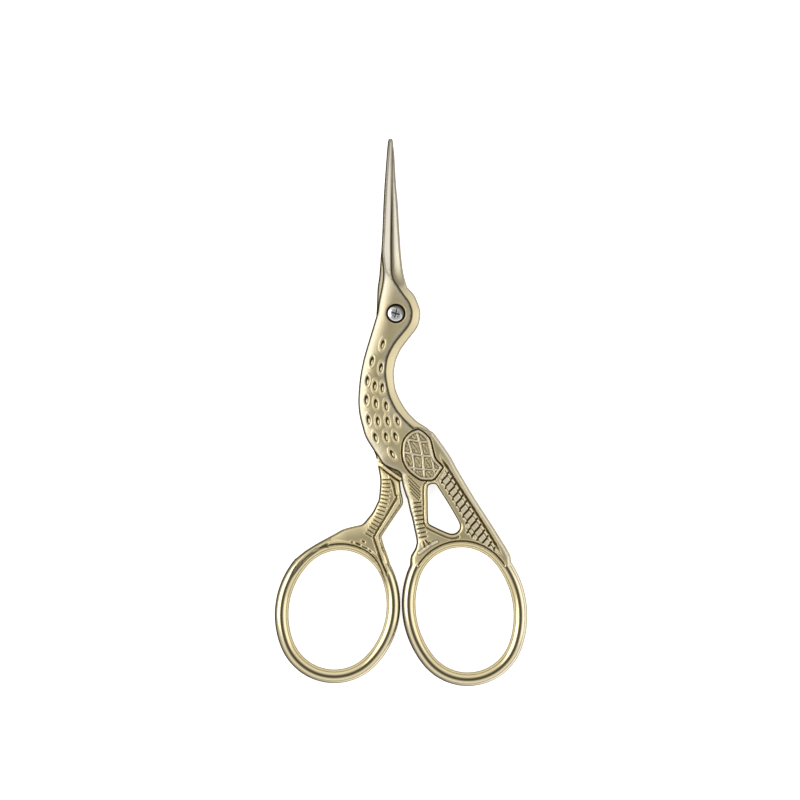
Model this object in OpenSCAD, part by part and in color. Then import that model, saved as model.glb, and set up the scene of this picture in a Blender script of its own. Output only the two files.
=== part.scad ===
// Stork embroidery scissors, closed, lying flat with the tips along +Y and the screw head up.
// The two halves cross at the pivot axis, which is the Z axis, and the underside rests on Z = 0.
// The front half has the left blade, the stork's wing and tail, and the right finger ring.
// The back half has the right blade and the left finger ring. All sizes are in millimetres.

/* [Blades] */
// Length of each blade from the pivot axis to its tip
blade_len = 36.8; // [32:0.2:42]
// Thickness of each blade's ridge at the tip
tip_t = 0.6; // [0.45:0.05:1]
// Thickness left along the cutting edge
edge_t = 0.2; // [0.1:0.05:0.4]
// Width of the bevel ground along the spine
spine_bevel = 0.5; // [0.2:0.05:0.6]

/* [Body] */
// Thickness of each half at the pivot
plate_t = 1.5; // [1.2:0.05:2]
// Gap between the two halves' mating faces
half_gap = 0.04; // [0.02:0.01:0.1]
// Height of the raised wing above the body
wing_rise = 0.3; // [0.15:0.05:0.6]
// Length of each feather mark
feather_len = 2.6; // [1.8:0.1:3]
// Width of each feather mark
feather_w = 1.2; // [0.8:0.1:1.4]
// Depth of each feather mark
feather_depth = 0.3; // [0.15:0.05:0.4]

/* [Legs and tail] */
// Clearance that the thick leg and tail of the front half keep from the back half's hip
step_clear = 0.45; // [0.3:0.05:0.7]
// Depth of the panels sunk into the legs and tail, and of the rungs cut into the front leg
panel_depth = 0.25; // [0.1:0.05:0.25]
// Spacing of the bricks that stand in the tail's panel
brick_pitch = 1.4; // [1.2:0.1:2]
// Width of the cuts between the bricks
brick_gap = 0.35; // [0.2:0.05:0.5]
// Width of each rung that stands in the back leg's panel, and of each one cut into the front leg
rung_w = 0.4; // [0.3:0.05:0.6]

/* [Finger rings] */
// Diameter of the round stock of both rings
ring_stock = 2.9; // [2.4:0.1:3]
// Inner width of the front half's ring
front_ring_w = 20.4; // [19:0.2:23]
// Inner length of the front half's ring
front_ring_l = 26.4; // [25:0.2:29]
// Lean of the front half's ring, to the left at its top
front_ring_lean = 9.8; // [7:0.2:13]
// Inner width of the back half's ring
back_ring_w = 20.4; // [19:0.2:23]
// Inner length of the back half's ring
back_ring_l = 25.2; // [24:0.2:29]
// Lean of the back half's ring, to the right at its top
back_ring_lean = 11.6; // [8:0.2:15]
// Distance from the pivot axis down to the middle of the rings
ring_drop = 62.3; // [61:0.1:64]
// Gap between the two rings when the scissors are closed
ring_gap = 0.3; // [0.2:0.05:0.8]

/* [Pivot screw] */
// Diameter of the screw's plain shoulder, on which the front half turns
shoulder_d = 2.6; // [2.3:0.1:3]
// Running clearance all round between the shoulder and the front half's bore
pivot_clear = 0.03; // [0.02:0.01:0.08]
// Diameter of the threaded end, screwed into the back half
thread_d = 2; // [1.6:0.1:2]
// Diameter of the screw's head
head_d = 3.6; // [3.4:0.1:4]
// Height of the screw's head
head_t = 0.5; // [0.4:0.05:0.6]
// Gap round the head in its seat
head_clear = 0.22; // [0.1:0.02:0.4]
// Play under the head, which lets the front half turn
head_play = 0.02; // [0.01:0.01:0.05]
// Span of the cross recess
recess_span = 2.2; // [1.8:0.1:2.6]
// Width of each slot of the cross recess
recess_w = 0.5; // [0.35:0.05:0.6]
// Depth of the cross recess
recess_depth = 0.3; // [0.2:0.05:0.35]
// Turn of the cross recess
recess_turn = -15; // [-45:5:45]

/* [Hidden] */
// Levels of the two mating faces, the middle of the rings and the front of the body
back_mate = plate_t;
front_mate = plate_t + half_gap;
mid_z = plate_t + half_gap / 2;
top_z = 2 * plate_t + half_gap;
// Straight steps in each span of a curve, in a quarter of a ring, round its bar and in a rounded edge
curve_steps = 3;
ring_steps = 14;
bar_sides = 16;
round_steps = 3;
// A cut runs past a face by this much, and a feather mark's sweep past it by these degrees
past = 1;
past_turn = 8;
// The legs and tail reach in to this share of a ring's stock from its hole, and their sides sink into the bar
// between these two shares
space_share = 0.4;
blend_outer = 0.98;
blend_inner = 0.45;

// The blades' outlines as pairs of a height over the pivot axis and a place across it, for this blade length
drawn_blade_len = 36.8;
blade_root_y = 8;
front_spine = [[5, -3.2], [9, -2.95], [13, -3.1], [17, -2.9], [21, -2.7], [26, -2.45], [31, -2.1], [34, -1.8],
    [36, -1.55], [36.8, -1.4]];
front_edge = [[5, -0.6], [9, -0.9], [14, -1], [23, -0.9], [31, -0.8], [36.8, -0.75]];
back_spine = [[5, 2.3], [9, 1.5], [12.3, 1.1], [15.4, 0.9], [19, 0.7], [23, 0.5], [27, 0.15], [31, -0.1],
    [34, -0.3], [36, -0.5], [36.8, -0.7]];
back_edge = [[5, -3.5], [9, -3.3], [13.3, -3], [18.6, -2.3], [23, -2], [28, -1.7], [32, -1.45], [36.8, -1.25]];
// Width and depth of the small flat where a blade's spine meets its mating face
spine_break = 0.4;
break_depth = 0.25;
// Share of the ridge's height left on the spine's own face, and the largest share of the width for a bevel
spine_share = 0.6;
bevel_share = 0.6;

// Ovals of the two rings: inner half width, inner half length and the radius of the ends
ring_end_share = 0.45;
front_oval = [front_ring_w / 2, front_ring_l / 2, front_ring_w * ring_end_share];
back_oval = [back_ring_w / 2, back_ring_l / 2, back_ring_w * ring_end_share];
// The line where the two rings' outer sides meet, and the rings' centres either side of it
ring_seam_x = 1.1;
front_ring_at = [ring_seam_x + ring_gap / 2 + side_reach(front_oval, front_ring_lean), -ring_drop];
back_ring_at = [ring_seam_x - ring_gap / 2 - side_reach(back_oval, back_ring_lean), -ring_drop];

// The radius of an oval's side arcs, and half the angle that each spans
function side_radius(oval) = let (w = oval[0], rise = oval[1] - oval[2], e = oval[2])
    (rise * rise + w * w - e * e) / (2 * (w - e));
function side_angle(oval) = atan2(oval[1] - oval[2], side_radius(oval) - oval[0]);
// How far the outside of a leaning ring reaches to its side
function side_reach(oval, lean) = let (r = side_radius(oval)) r - (r - oval[0]) * cos(lean) + ring_stock;

// Places round an oval from its right side to just short of its top, each with the way outwards there
function quarter_oval(oval) = let (r = side_radius(oval), side = side_angle(oval), half = ring_steps / 2)
    concat(
        [for (i = [0 : half - 1]) let (a = side * i / half) [[oval[0] - r, 0] + r * [cos(a), sin(a)], a]],
        [for (i = [0 : half - 1]) let (a = side + (90 - side) * i / half)
            [[0, oval[1] - oval[2]] + oval[2] * [cos(a), sin(a)], a]]);
function whole_oval(oval) = let (q = quarter_oval(oval), n = len(q), half = concat(
        q,
        [[[0, oval[1]], 90]],
        [for (i = [n - 1 : -1 : 1]) [[-q[i][0].x, q[i][0].y], 180 - q[i][1]]]))
    concat(half, [for (p = half) [-p[0], p[1] + 180]]);
// Where a leg's or the tail's side runs on along a ring's bar and sinks into it, between two places round the
// oval, from one share of the stock outside the hole to another
function blend(oval, at, lean, first, last, share_first, share_last) = let (p = whole_oval(oval))
    [for (i = [first : last]) let (
        share = share_first + (share_last - share_first) * (i - first) / (last - first),
        q = p[i][0] + ring_stock * share * [cos(p[i][1]), sin(p[i][1])])
        at + [q.x * cos(lean) - q.y * sin(lean), q.x * sin(lean) + q.y * cos(lean)]];

// Points of a smooth curve through the points p
function curve(p) = let (last = len(p) - 1) concat(
    [for (i = [0 : last - 1], k = [0 : curve_steps - 1])
        let (t = k / curve_steps, a = p[max(i - 1, 0)], b = p[i], c = p[i + 1], d = p[min(i + 2, last)])
        b + 0.5 * t * ((c - a) + t * ((2 * a - 5 * b + 4 * c - d) + t * (3 * b - 3 * c + d - a)))],
    [p[last]]);
// A closed outline of runs of points, each starting where the one before it ends
function joined(runs) = [for (r = runs, i = [0 : len(r) - 2]) r[i]];
function end_of(p) = p[len(p) - 1];
function reversed(p) = [for (i = [len(p) - 1 : -1 : 0]) p[i]];
function unit(v) = v / norm(v);
// A closed anticlockwise outline moved inwards by d, or outwards where d is negative
function inset(p, d) = [for (i = [0 : len(p) - 1])
    let (n = len(p),
        u = unit(p[i] - p[(i + n - 1) % n]),
        v = unit(p[(i + 1) % n] - p[i]),
        m = [-u.y - v.y, u.x + v.x])
    p[i] + m * 2 * d / max(m * m, 1)];
// Height and inset of each step up a wall whose top edge is rounded to the radius r
function levels(z0, z1, r) = concat([[z0, 0]],
    [for (i = [0 : round_steps]) let (a = 90 * i / round_steps) [z1 - r * (1 - sin(a)), r * (1 - cos(a))]]);

// The back half's hip lies under the wing, and the front half's thick parts start this far outside it
hip_points = [[0.9, -35.4], [3.8, -33.3], [6.2, -30.6], [7.4, -27.6]];
hip_step = [step_clear, -step_clear];

// The front half's body, anticlockwise from the left of its blade's root; it ends inside the thick leg and tail
front_body = joined([
    curve([[-2.95, 9], [-3.3, 4.3], [-3.85, 0], [-5, -3.5], [-6.5, -8.5], [-7.5, -13.5], [-7.9, -18.2],
        [-7.1, -23.6], [-4.7, -28.6], [-2.7, -31.6], [-0.9, -32.6], [0.8, -33.5]]),
    [[0.8, -33.5], [1.2, -35.4], [2.4, -37], [4.5, -37.5], [7, -35.2], [12.2, -33], [10.6, -30], [8.7, -27.3],
        [8.45, -25.7], [7.8, -24.9], [6.6, -24.3], [5.3, -23.8], [4.6, -23.8], [3.7, -24.1]],
    curve([[3.7, -24.1], [1, -21.4], [-1.2, -17.6], [-2, -14.2], [-2.2, -12.2], [-1.8, -9.3], [-0.2, -6.2],
        [1.9, -3.7], [3.1, -1.7], [3.4, 0], [2.9, 2.3], [0.8, 5.2], [-0.5, 7.2], [-0.85, 9]]),
    [[-0.85, 9], [-2.95, 9]]]);
// Its thick leg and tail, from the top of the leg round to the top of the tail
front_leg_end = blend(front_oval, front_ring_at, front_ring_lean, 20, 26, blend_outer, blend_inner);
tail_end = blend(front_oval, front_ring_at, front_ring_lean, 1, 7, blend_inner, blend_outer);
front_handle = joined([
    curve([hip_points[0] + hip_step, [1.9, -37.5], [2.9, -41.5], [3.9, -45.5], [4.35, -48.2], [3.5, -50.4],
        front_leg_end[0]]),
    concat(front_leg_end, [tail_end[0]]),
    tail_end,
    curve([end_of(tail_end), [24, -50.7], [20.4, -44.7], [16.6, -38.9], [13, -32.8], [11.2, -29.6],
        [8.8, -26.3]]),
    concat([[8.8, -26.3]], curve([for (p = reversed(hip_points)) p + hip_step]))]);

// The back half's body, anticlockwise from the left of its blade's root; it ends inside the thick leg
back_body = joined([
    curve([[-3.3, 9], [-3.55, 4], [-3.8, 0.3], [-4.7, -3.5], [-6.1, -8.5], [-7.1, -13.5], [-7.5, -18.2],
        [-6.7, -23.5], [-4.9, -28.2], [-4.2, -30.6], [-3.55, -32.5]]),
    [[-3.55, -32.5], [-2.4, -35], [0.2, -36.4], hip_points[0]],
    curve(hip_points),
    [[7.4, -27.6], [7.6, -24.9]],
    curve([[7.6, -24.9], [5.3, -23.1], [3.7, -22], [1.9, -19.8], [0.5, -17.3], [-0.2, -14.8], [-0.4, -13],
        [0, -9.8], [1.3, -7.2], [3.2, -4.7], [4.8, -2.2], [5.2, 0], [4.9, 1.6], [3.8, 4], [2.4, 6], [1.5, 9]]),
    [[1.5, 9], [-3.3, 9]]]);
// Its thick leg, which steps up from the mating face in front of the front half's belly
back_shoulder_end = blend(back_oval, back_ring_at, -back_ring_lean, 21, 27, blend_outer, blend_inner);
back_leg_end = blend(back_oval, back_ring_at, -back_ring_lean, 2, 8, blend_inner, blend_outer);
back_handle = joined([
    curve([[-3.6, -32.3], [-3.25, -34.2], [-3.3, -36.5], [-3.7, -39.4], [-4.7, -41.8], [-5.9, -43.7],
        [-7.7, -44.6], [-9.8, -44.9], [-12.8, -46.2], [-15.8, -47.9], [-19.4, -50.2], back_shoulder_end[0]]),
    concat(back_shoulder_end, [back_leg_end[0]]),
    back_leg_end,
    curve([end_of(back_leg_end), [-1.6, -50.9], [-2.3, -49.1], [-2.95, -47.2], [-2.5, -46.1], [-0.7, -43.4],
        [1.2, -40.6], [1.55, -39.6], [1.2, -37.4], hip_points[0]]),
    curve([hip_points[0], [-0.4, -34.6], [-2.2, -33.3], [-3.6, -32.3]])]);

// The openwork between the front half's leg and tail, with the wing, and the sunk panels, all anticlockwise
openwork = joined([curve([[7.3, -35.8], [6.7, -36.6], [6.7, -39.6], [6.8, -43.3], [7.5, -44.5]]),
    curve([[7.5, -44.5], [11.3, -46.2], [13, -45.9], [13.5, -44.9], [13.1, -43.5], [8.8, -36.6], [8.1, -35.8]]),
    [[8.1, -35.8], [7.3, -35.8]]]);
wing = joined([
    curve([[4.9, -24.6], [3.1, -24.9], [1.7, -26.8], [1.3, -29.1], [1.8, -31.7], [3.4, -34], [5.2, -35]]),
    curve([[5.2, -35], [7.8, -34.8], [10.1, -32.1]]),
    curve([[10.1, -32.1], [8.6, -30.3], [7.4, -27.2], [4.9, -24.6]])]);
tail_panel = [[10.7, -33], [9.7, -34.8], [10, -36.6], [14.2, -43.5], [17.6, -47.2], [21.3, -51.1],
    [22.1, -51.3], [21.9, -50.3]];
leg_panel = joined([
    curve([[-2.6, -34.6], [-2.7, -36.6], [-3.1, -39.2], [-4.3, -42.2], [-6.2, -45.6], [-6.6, -47.6]]),
    [[-6.6, -47.6], [-4.6, -47.6]],
    curve([[-4.6, -47.6], [-4.2, -46.2], [-2.3, -43], [-0.1, -39.6], [-0.2, -37.8], [-1, -35.4]]),
    [[-1, -35.4], [-2.6, -34.6]]]);

// The tail's bricks: where their rows start on the rim, the way down the rim, how far each row slants on the
// way in from it, how far apart the first and last rows are, and where the two columns lie from the rim
brick_top = [10.9, -32.4];
brick_way = [0.53, -0.848];
brick_slant = 0.25;
brick_first = 1.3;
brick_last = 20.5;
brick_columns = [[0.15, 0.75], [1, 4]];
// Rungs: place across, place along and lean of each, with the length of those cut into the front leg
front_rungs = [for (i = [0 : 8]) [4.8 + 0.13 * i, -39.6 - 0.9 * i, -8]];
front_rung_l = 1.2;
back_rungs = [[-1.7, -35.5, 0], [-1.7, -36.6, -2], [-1.8, -37.7, -6], [-2.1, -38.8, -12], [-2.5, -39.9, -18],
    [-2.9, -41, -24], [-3.4, -42, -30], [-3.9, -43, -34], [-4.4, -44, -38], [-4.9, -45, -40], [-5.4, -46, -42]];
back_rung_l = 6;

// Feather marks: place across, place along and lean of each
feathers = [[-2.7, -6.5, -12], [-5, -10, -10], [-3.1, -11.4, -10], [-5.9, -14.1, -5], [-4.4, -15.2, -5],
    [-2.8, -15.6, -5], [-6.2, -18.1, 0], [-4.2, -18.9, 0], [-2, -19.4, 5], [-5.7, -22.3, 10],
    [-3.8, -22.6, 12], [-1.7, -22.6, 15], [0.4, -22.6, 18], [-4.2, -26, 20], [-2, -25.9, 22],
    [-0.1, -25.9, 25], [-0.7, -29.5, 36]];
// The back half's marks lie this much further right, down the middle of its own neck
back_feather_shift = 0.9;

// A solid skin over rings of points, each ring seen clockwise from the first
module skin(rings) {
    n = len(rings[0]);
    last = len(rings) - 1;
    polyhedron(
        points = [for (r = rings) each r],
        faces = concat(
            [[for (i = [0 : n - 1]) i]],
            [[for (i = [n - 1 : -1 : 0]) last * n + i]],
            [for (k = [0 : last - 1], i = [0 : n - 1])
                [k * n + i, (k + 1) * n + i, (k + 1) * n + (i + 1) % n]],
            [for (k = [0 : last - 1], i = [0 : n - 1])
                [k * n + i, (k + 1) * n + (i + 1) % n, k * n + (i + 1) % n]]));
}

// A plate of this outline between two levels
module plate(outline, z0, z1) {
    translate([0, 0, z0]) linear_extrude(z1 - z0) polygon(outline);
}

// One tapered blade: side is 1 where its ground face is up and -1 where it is down
module blade(spine, edge, mate, side) {
    skin([for (row = spine) let (
        xs = row[1],
        xe = lookup(row[0], edge),
        inward = sign(xe - xs),
        t = lookup(row[0], [[blade_root_y, plate_t], [drawn_blade_len, tip_t]]),
        bevel = min(spine_bevel, bevel_share * abs(xe - xs)),
        y = row[0] * blade_len / drawn_blade_len)
        [for (q = [[xe, 0], [xs + inward * spine_break, 0], [xs, break_depth], [xs, spine_share * t],
            [xs + inward * bevel, t], [xe, edge_t]]) [q.x, y, mate + side * q.y]]]);
}

// A round bar bent to the oval, its inside being the oval's own size
module ring_bar(oval) {
    places = whole_oval(oval);
    n = len(places);
    r = ring_stock / 2;
    polyhedron(
        points = [for (p = places, j = [0 : bar_sides - 1]) let (
            b = 360 * j / bar_sides,
            q = p[0] + r * (1 + cos(b)) * [cos(p[1]), sin(p[1])])
            [q.x, q.y, r * sin(b)]],
        faces = [for (i = [0 : n - 1], j = [0 : bar_sides - 1], half = [0, 1])
            let (a = i * bar_sides, b = (i + 1) % n * bar_sides, k = (j + 1) % bar_sides)
            half == 0 ? [a + j, b + k, b + j] : [a + j, a + k, b + k]]);
}

// The space inside a ring and a little way into its bar, cut out of the leg and tail
module ring_space(oval) {
    translate([0, 0, -past]) linear_extrude(top_z + 2 * past)
        polygon([for (p = whole_oval(oval)) p[0] + ring_stock * space_share * [cos(p[1]), sin(p[1])]]);
}

// A panel sunk into both outer faces, less what stands in it
module sunk_panel(outline) {
    for (z = [-past, top_z - panel_depth]) translate([0, 0, z]) difference() {
        linear_extrude(panel_depth + past) polygon(outline);
        translate([0, 0, -past]) children();
    }
}

// The tail's bricks, in rows down the rim
module bricks() {
    inward = [brick_way.y, -brick_way.x];
    half = (brick_pitch - brick_gap) / 2;
    for (row = [brick_first : brick_pitch : brick_last], c = brick_columns)
        linear_extrude(panel_depth + 3 * past)
            polygon([for (q = [[-half, c[0]], [half, c[0]], [half, c[1]], [-half, c[1]]])
                brick_top + (row + q[0] + brick_slant * q[1]) * brick_way + q[1] * inward]);
}

// One rung across a leg, standing on z = 0
module rung(place, length, height) {
    translate([place[0], place[1], 0]) rotate([0, 0, place[2]]) translate([-length / 2, -rung_w / 2, 0])
        cube([length, rung_w, height]);
}

// A boat-shaped feather mark that sinks into a face at z = 0 from above
module feather_cut() {
    r = (feather_w * feather_w / 4 + feather_depth * feather_depth) / (2 * feather_depth);
    wheel = (feather_len * feather_len / 4 + feather_depth * feather_depth) / (2 * feather_depth);
    a = acos(1 - feather_depth / wheel) + past_turn;
    translate([0, 0, wheel - feather_depth]) rotate([0, 90, 0]) rotate([0, 0, -a])
        rotate_extrude(angle = 2 * a, $fn = 60) translate([wheel - r, 0]) circle(r, $fn = 16);
}

module front_half() {
    color("#d8cba6") difference() {
        union() {
            difference() {
                union() {
                    plate(front_body, front_mate, top_z);
                    plate(front_handle, 0, top_z);
                    skin([for (l = levels(top_z - past, top_z + wing_rise, wing_rise))
                        [for (q = inset(wing, l[1])) [q.x, q.y, l[0]]]]);
                }
                translate(front_ring_at) rotate([0, 0, front_ring_lean]) ring_space(front_oval);
                plate(openwork, -past, top_z + past);
                sunk_panel(tail_panel) bricks();
                for (z = [-past, top_z - panel_depth], r = front_rungs) translate([0, 0, z])
                    rung(r, front_rung_l, panel_depth + past);
                for (f = feathers) translate([f[0], f[1], top_z]) rotate([0, 0, f[2]]) feather_cut();
            }
            blade(front_spine, front_edge, front_mate, 1);
            translate([front_ring_at.x, front_ring_at.y, mid_z]) rotate([0, 0, front_ring_lean])
                ring_bar(front_oval);
        }
        translate([0, 0, top_z - head_t])
            cylinder(d = head_d + 2 * head_clear, h = head_t + past, $fn = 64);
        translate([0, 0, front_mate - past])
            cylinder(d = shoulder_d + 2 * pivot_clear, h = plate_t + past, $fn = 64);
    }
}

module back_half() {
    color("#cfc39f") difference() {
        union() {
            difference() {
                union() {
                    plate(back_body, 0, back_mate);
                    plate(back_handle, 0, top_z);
                }
                translate(back_ring_at) rotate([0, 0, -back_ring_lean]) ring_space(back_oval);
                sunk_panel(leg_panel) for (r = back_rungs) rung(r, back_rung_l, panel_depth + 3 * past);
                for (f = feathers) translate([f[0] + back_feather_shift, f[1], 0]) rotate([0, 180, f[2]])
                    feather_cut();
            }
            blade(back_spine, back_edge, back_mate, -1);
            translate([back_ring_at.x, back_ring_at.y, mid_z]) rotate([0, 0, -back_ring_lean])
                ring_bar(back_oval);
        }
        translate([0, 0, -past]) cylinder(d = thread_d, h = plate_t + 2 * past, $fn = 64);
    }
}

// A turned screw: threaded end, plain shoulder seated on the back half, and a head with a cross recess
module pivot_screw() {
    head_z = top_z - head_t + head_play;
    color("#b9bcc0") difference() {
        rotate_extrude($fn = 64) polygon([[0, 0], [thread_d / 2, 0], [thread_d / 2, back_mate],
            [shoulder_d / 2, back_mate], [shoulder_d / 2, head_z], [head_d / 2, head_z],
            [head_d / 2, head_z + head_t / 2], [head_d / 2 - head_t / 2, head_z + head_t],
            [0, head_z + head_t]]);
        for (a = [0, 90]) rotate([0, 0, recess_turn + a])
            translate([-recess_span / 2, -recess_w / 2, head_z + head_t - recess_depth])
                cube([recess_span, recess_w, recess_depth + past]);
    }
}

front_half();
back_half();
pivot_screw();
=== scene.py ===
# %% [markdown]
# # Stork embroidery scissors
# The imported CAD model is the fixed frame: two halves that turn on one screw. It has the true outlines and
# levels. This lesson dresses it: each half gets the relief of a cast and engraved blank (rounded edges,
# beads, feather marks, wing, tail bricks), and each piece its real finish. The CAD model's parts are kept
# from the start, and each is hidden where a dressed piece stands for it.

# %% The frame
import math
import bpy
import bmesh
import numpy as np
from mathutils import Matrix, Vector
from mathutils.geometry import delaunay_2d_cdt


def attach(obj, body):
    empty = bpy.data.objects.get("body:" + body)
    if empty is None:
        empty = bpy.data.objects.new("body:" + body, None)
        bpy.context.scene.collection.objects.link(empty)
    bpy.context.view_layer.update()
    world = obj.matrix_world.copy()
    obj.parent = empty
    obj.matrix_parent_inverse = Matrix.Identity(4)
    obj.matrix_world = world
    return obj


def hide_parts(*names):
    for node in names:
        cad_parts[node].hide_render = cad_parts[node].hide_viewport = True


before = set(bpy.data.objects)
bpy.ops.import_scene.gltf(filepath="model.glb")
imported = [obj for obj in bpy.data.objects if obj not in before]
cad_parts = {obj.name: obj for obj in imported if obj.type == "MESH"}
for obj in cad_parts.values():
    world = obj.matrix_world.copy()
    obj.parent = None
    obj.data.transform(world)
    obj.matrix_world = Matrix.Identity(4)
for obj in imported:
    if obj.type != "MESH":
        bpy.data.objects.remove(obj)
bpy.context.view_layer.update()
print("CAD nodes:", sorted(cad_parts))

# %% [markdown]
# The scissors' lengths are in millimetres, because that is how such a small tool is drawn. One value turns
# them into Blender's metres. The levels are the CAD model's: each half is a 1.5 mm plate, and the legs,
# the tail and the finger rings use the full thickness of both.

# %% Levels
MM = 0.001
PLATE = 1.5
GAP = 0.04
FRONT_MATE = PLATE + GAP
MIDDLE = PLATE + GAP / 2
TOP = 2 * PLATE + GAP
STOCK = 2.9
print("front half from", FRONT_MATE, "to", TOP, "mm, ring stock", STOCK, "mm")

# %% [markdown]
# ## Lines
# A hand forger's outline is a chain of smooth curves that meet at a few corners. It could be drawn with
# Bezier handles, but a curve that passes through its own points is easier to read off a drawing, so each
# run is a Catmull-Rom curve, cut into equal steps.

# %% Smooth runs of points
STEP = 0.25
FINE = 16


def smooth(points, step=STEP):
    """Equal steps along a smooth curve through these points."""
    p = np.array(points, float)
    ends = np.vstack([2 * p[0] - p[1], p, 2 * p[-1] - p[-2]])
    t = np.linspace(0, 1, FINE, endpoint=False)[:, None]
    parts = []
    for a, b, c, d in zip(ends, ends[1:], ends[2:], ends[3:]):
        bend, twist = 2 * a - 5 * b + 4 * c - d, 3 * b - 3 * c + d - a
        parts.append(b + 0.5 * t * ((c - a) + t * (bend + t * twist)))
    fine = np.vstack(parts + [p[-1:]])
    along = np.r_[0, np.cumsum(np.linalg.norm(np.diff(fine, axis=0), axis=1))]
    at = np.linspace(0, along[-1], max(2, round(along[-1] / step) + 1))
    return np.c_[np.interp(at, along, fine[:, 0]), np.interp(at, along, fine[:, 1])]


def closed(runs):
    """One closed line from runs that each start where the last one ends."""
    return np.vstack([r[:-1] for r in runs])


print("a 10 mm line becomes", len(smooth([(0, 0), (10, 0)])), "points")

# %% [markdown]
# The relief is written as heights over the plane of the scissors, and each form in it (an edge, a bead, a
# groove) depends on how far a point is from a line. This finds the nearest place on a line of straight
# steps for many points at once. It works tile by tile, and looks only at the steps that a tile can reach.

# %% Distance to a line
TILE = 2.5
TILE_DIAGONAL = 1.42 * TILE


def nearest(points, line, loop=False):
    """For each point, its distance to the line, and the place on it, counted in steps from its start."""
    b = np.roll(line, -1, axis=0) if loop else line[1:]
    a = line if loop else line[:-1]
    d = b - a
    middle, reach = (a + b) / 2, np.linalg.norm(d, axis=1) / 2
    size = np.maximum((d * d).sum(1), 1e-12)
    far, place = np.empty(len(points)), np.empty(len(points))
    tile = np.floor(points / TILE).astype(int)
    order = np.lexsort((tile[:, 1], tile[:, 0]))
    cuts = np.flatnonzero(np.any(np.diff(tile[order], axis=0), axis=1)) + 1
    for block in np.split(order, cuts):
        centre = (tile[block[0]] + 0.5) * TILE
        gap = np.linalg.norm(middle - centre, axis=1)
        near = np.flatnonzero(gap - reach < (gap + reach).min() + TILE_DIAGONAL)
        q = points[block, None, :] - a[None, near]
        t = np.clip((q * d[near]).sum(2) / size[near], 0, 1)
        gap = np.linalg.norm(q - t[..., None] * d[near], axis=2)
        k = gap.argmin(1)
        row = np.arange(len(k))
        far[block] = gap[row, k]
        place[block] = near[k] + t[row, k]
    return far, place


def inside(points, line):
    """True for each point inside a closed line."""
    x, y = points[:, 0], points[:, 1]
    hit = np.zeros(len(points), bool)
    for (x0, y0), (x1, y1) in zip(line, np.roll(line, -1, axis=0)):
        if y0 != y1:
            hit ^= ((y0 > y) != (y1 > y)) & (x < (x1 - x0) * (y - y0) / (y1 - y0) + x0)
    return hit


beside_it = nearest(np.array([(4.0, 3.0)]), np.array([(0.0, 0.0), (9.0, 0.0)]))[0]
print("a point 3 mm beside a line is found", beside_it[0], "mm from it")

# %% [markdown]
# ## The finger rings
# Each ring is a round bar bent to a leaning oval of four arcs: two long ones at the sides and two tight
# ones at the ends. Offsets of such an oval are again four arcs about the same centres, so the distance
# from the finger hole is exact everywhere, and so is the bar's round section.

# %% Ovals
END_SHARE = 0.9


class Ring:
    """A finger ring: half its hole's width and length (w, l), and its end and side arcs' radii (e, r)."""

    def __init__(self, at, lean, half_w, half_l):
        self.at, self.lean = np.array(at), math.radians(lean)
        self.w, self.l, self.e = half_w, half_l, END_SHARE * half_w
        rise = self.l - self.e
        self.r = (rise * rise + self.w ** 2 - self.e ** 2) / (2 * (self.w - self.e))
        self.side = math.atan2(rise, self.r - self.w)

    def out(self, points):
        """Distance of each point outside the finger hole's edge."""
        c, s = math.cos(self.lean), math.sin(self.lean)
        q = points - self.at
        u, v = abs(q[:, 0] * c + q[:, 1] * s), abs(q[:, 1] * c - q[:, 0] * s)
        to_side = np.hypot(u - (self.w - self.r), v)
        to_end = np.hypot(u, v - (self.l - self.e))
        by_side = np.arctan2(v, u - (self.w - self.r)) < self.side
        return np.where(by_side, to_side - self.r, to_end - self.e)

    def line(self, out, step=STEP):
        """A closed line round the ring at this distance outside the hole, anticlockwise from its right."""
        a = np.linspace(0, self.side, 200, endpoint=False)
        b = np.linspace(self.side, math.pi / 2, 200)
        quarter = np.vstack([
            np.c_[self.w - self.r + (self.r + out) * np.cos(a), (self.r + out) * np.sin(a)],
            np.c_[(self.e + out) * np.cos(b), self.l - self.e + (self.e + out) * np.sin(b)]])
        half = np.vstack([quarter, (quarter * [-1, 1])[-2:0:-1]])
        p = np.vstack([half, -half, half[:1]])
        along = np.r_[0, np.cumsum(np.linalg.norm(np.diff(p, axis=0), axis=1))]
        at = np.linspace(0, along[-1], round(along[-1] / step) + 1)[:-1]
        p = np.c_[np.interp(at, along, p[:, 0]), np.interp(at, along, p[:, 1])]
        c, s = math.cos(self.lean), math.sin(self.lean)
        return p @ np.array([[c, s], [-s, c]]) + self.at

    def arc(self, out, start, end):
        """The part of such a line that runs anticlockwise from near one point to near another."""
        p = self.line(out)
        i = np.linalg.norm(p - start, axis=1).argmin()
        j = np.linalg.norm(p - end, axis=1).argmin()
        return np.array([p[k % len(p)] for k in range(i, j + 1 if j > i else j + len(p) + 1)])


FRONT_RING = Ring((14.458, -62.3), 9.8, 10.2, 13.2)
BACK_RING = Ring((-12.257, -62.3), -11.6, 10.2, 12.6)
print("finger holes", 2 * FRONT_RING.w, "mm wide,", 2 * FRONT_RING.l, "and", 2 * BACK_RING.l, "mm long")

# %% [markdown]
# The bar's upper side is a quarter round on each side of its crest, which lies 1.5 mm out from the hole.
# Its lower side is the same turned over, about the middle of the scissors' thickness.

# %% The bar's section
CREST = 1.5


def bar_height(out):
    """Height of the bar's upper side over its middle, which is 0 outside the bar."""
    t = np.where(out < CREST, (out - CREST) / CREST, (out - CREST) / (STOCK - CREST))
    return STOCK / 2 * np.sqrt(np.clip(1 - t * t, 0, 1))


print("the bar is", round(2 * float(bar_height(np.array(CREST))), 2), "mm thick at its crest")

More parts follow.
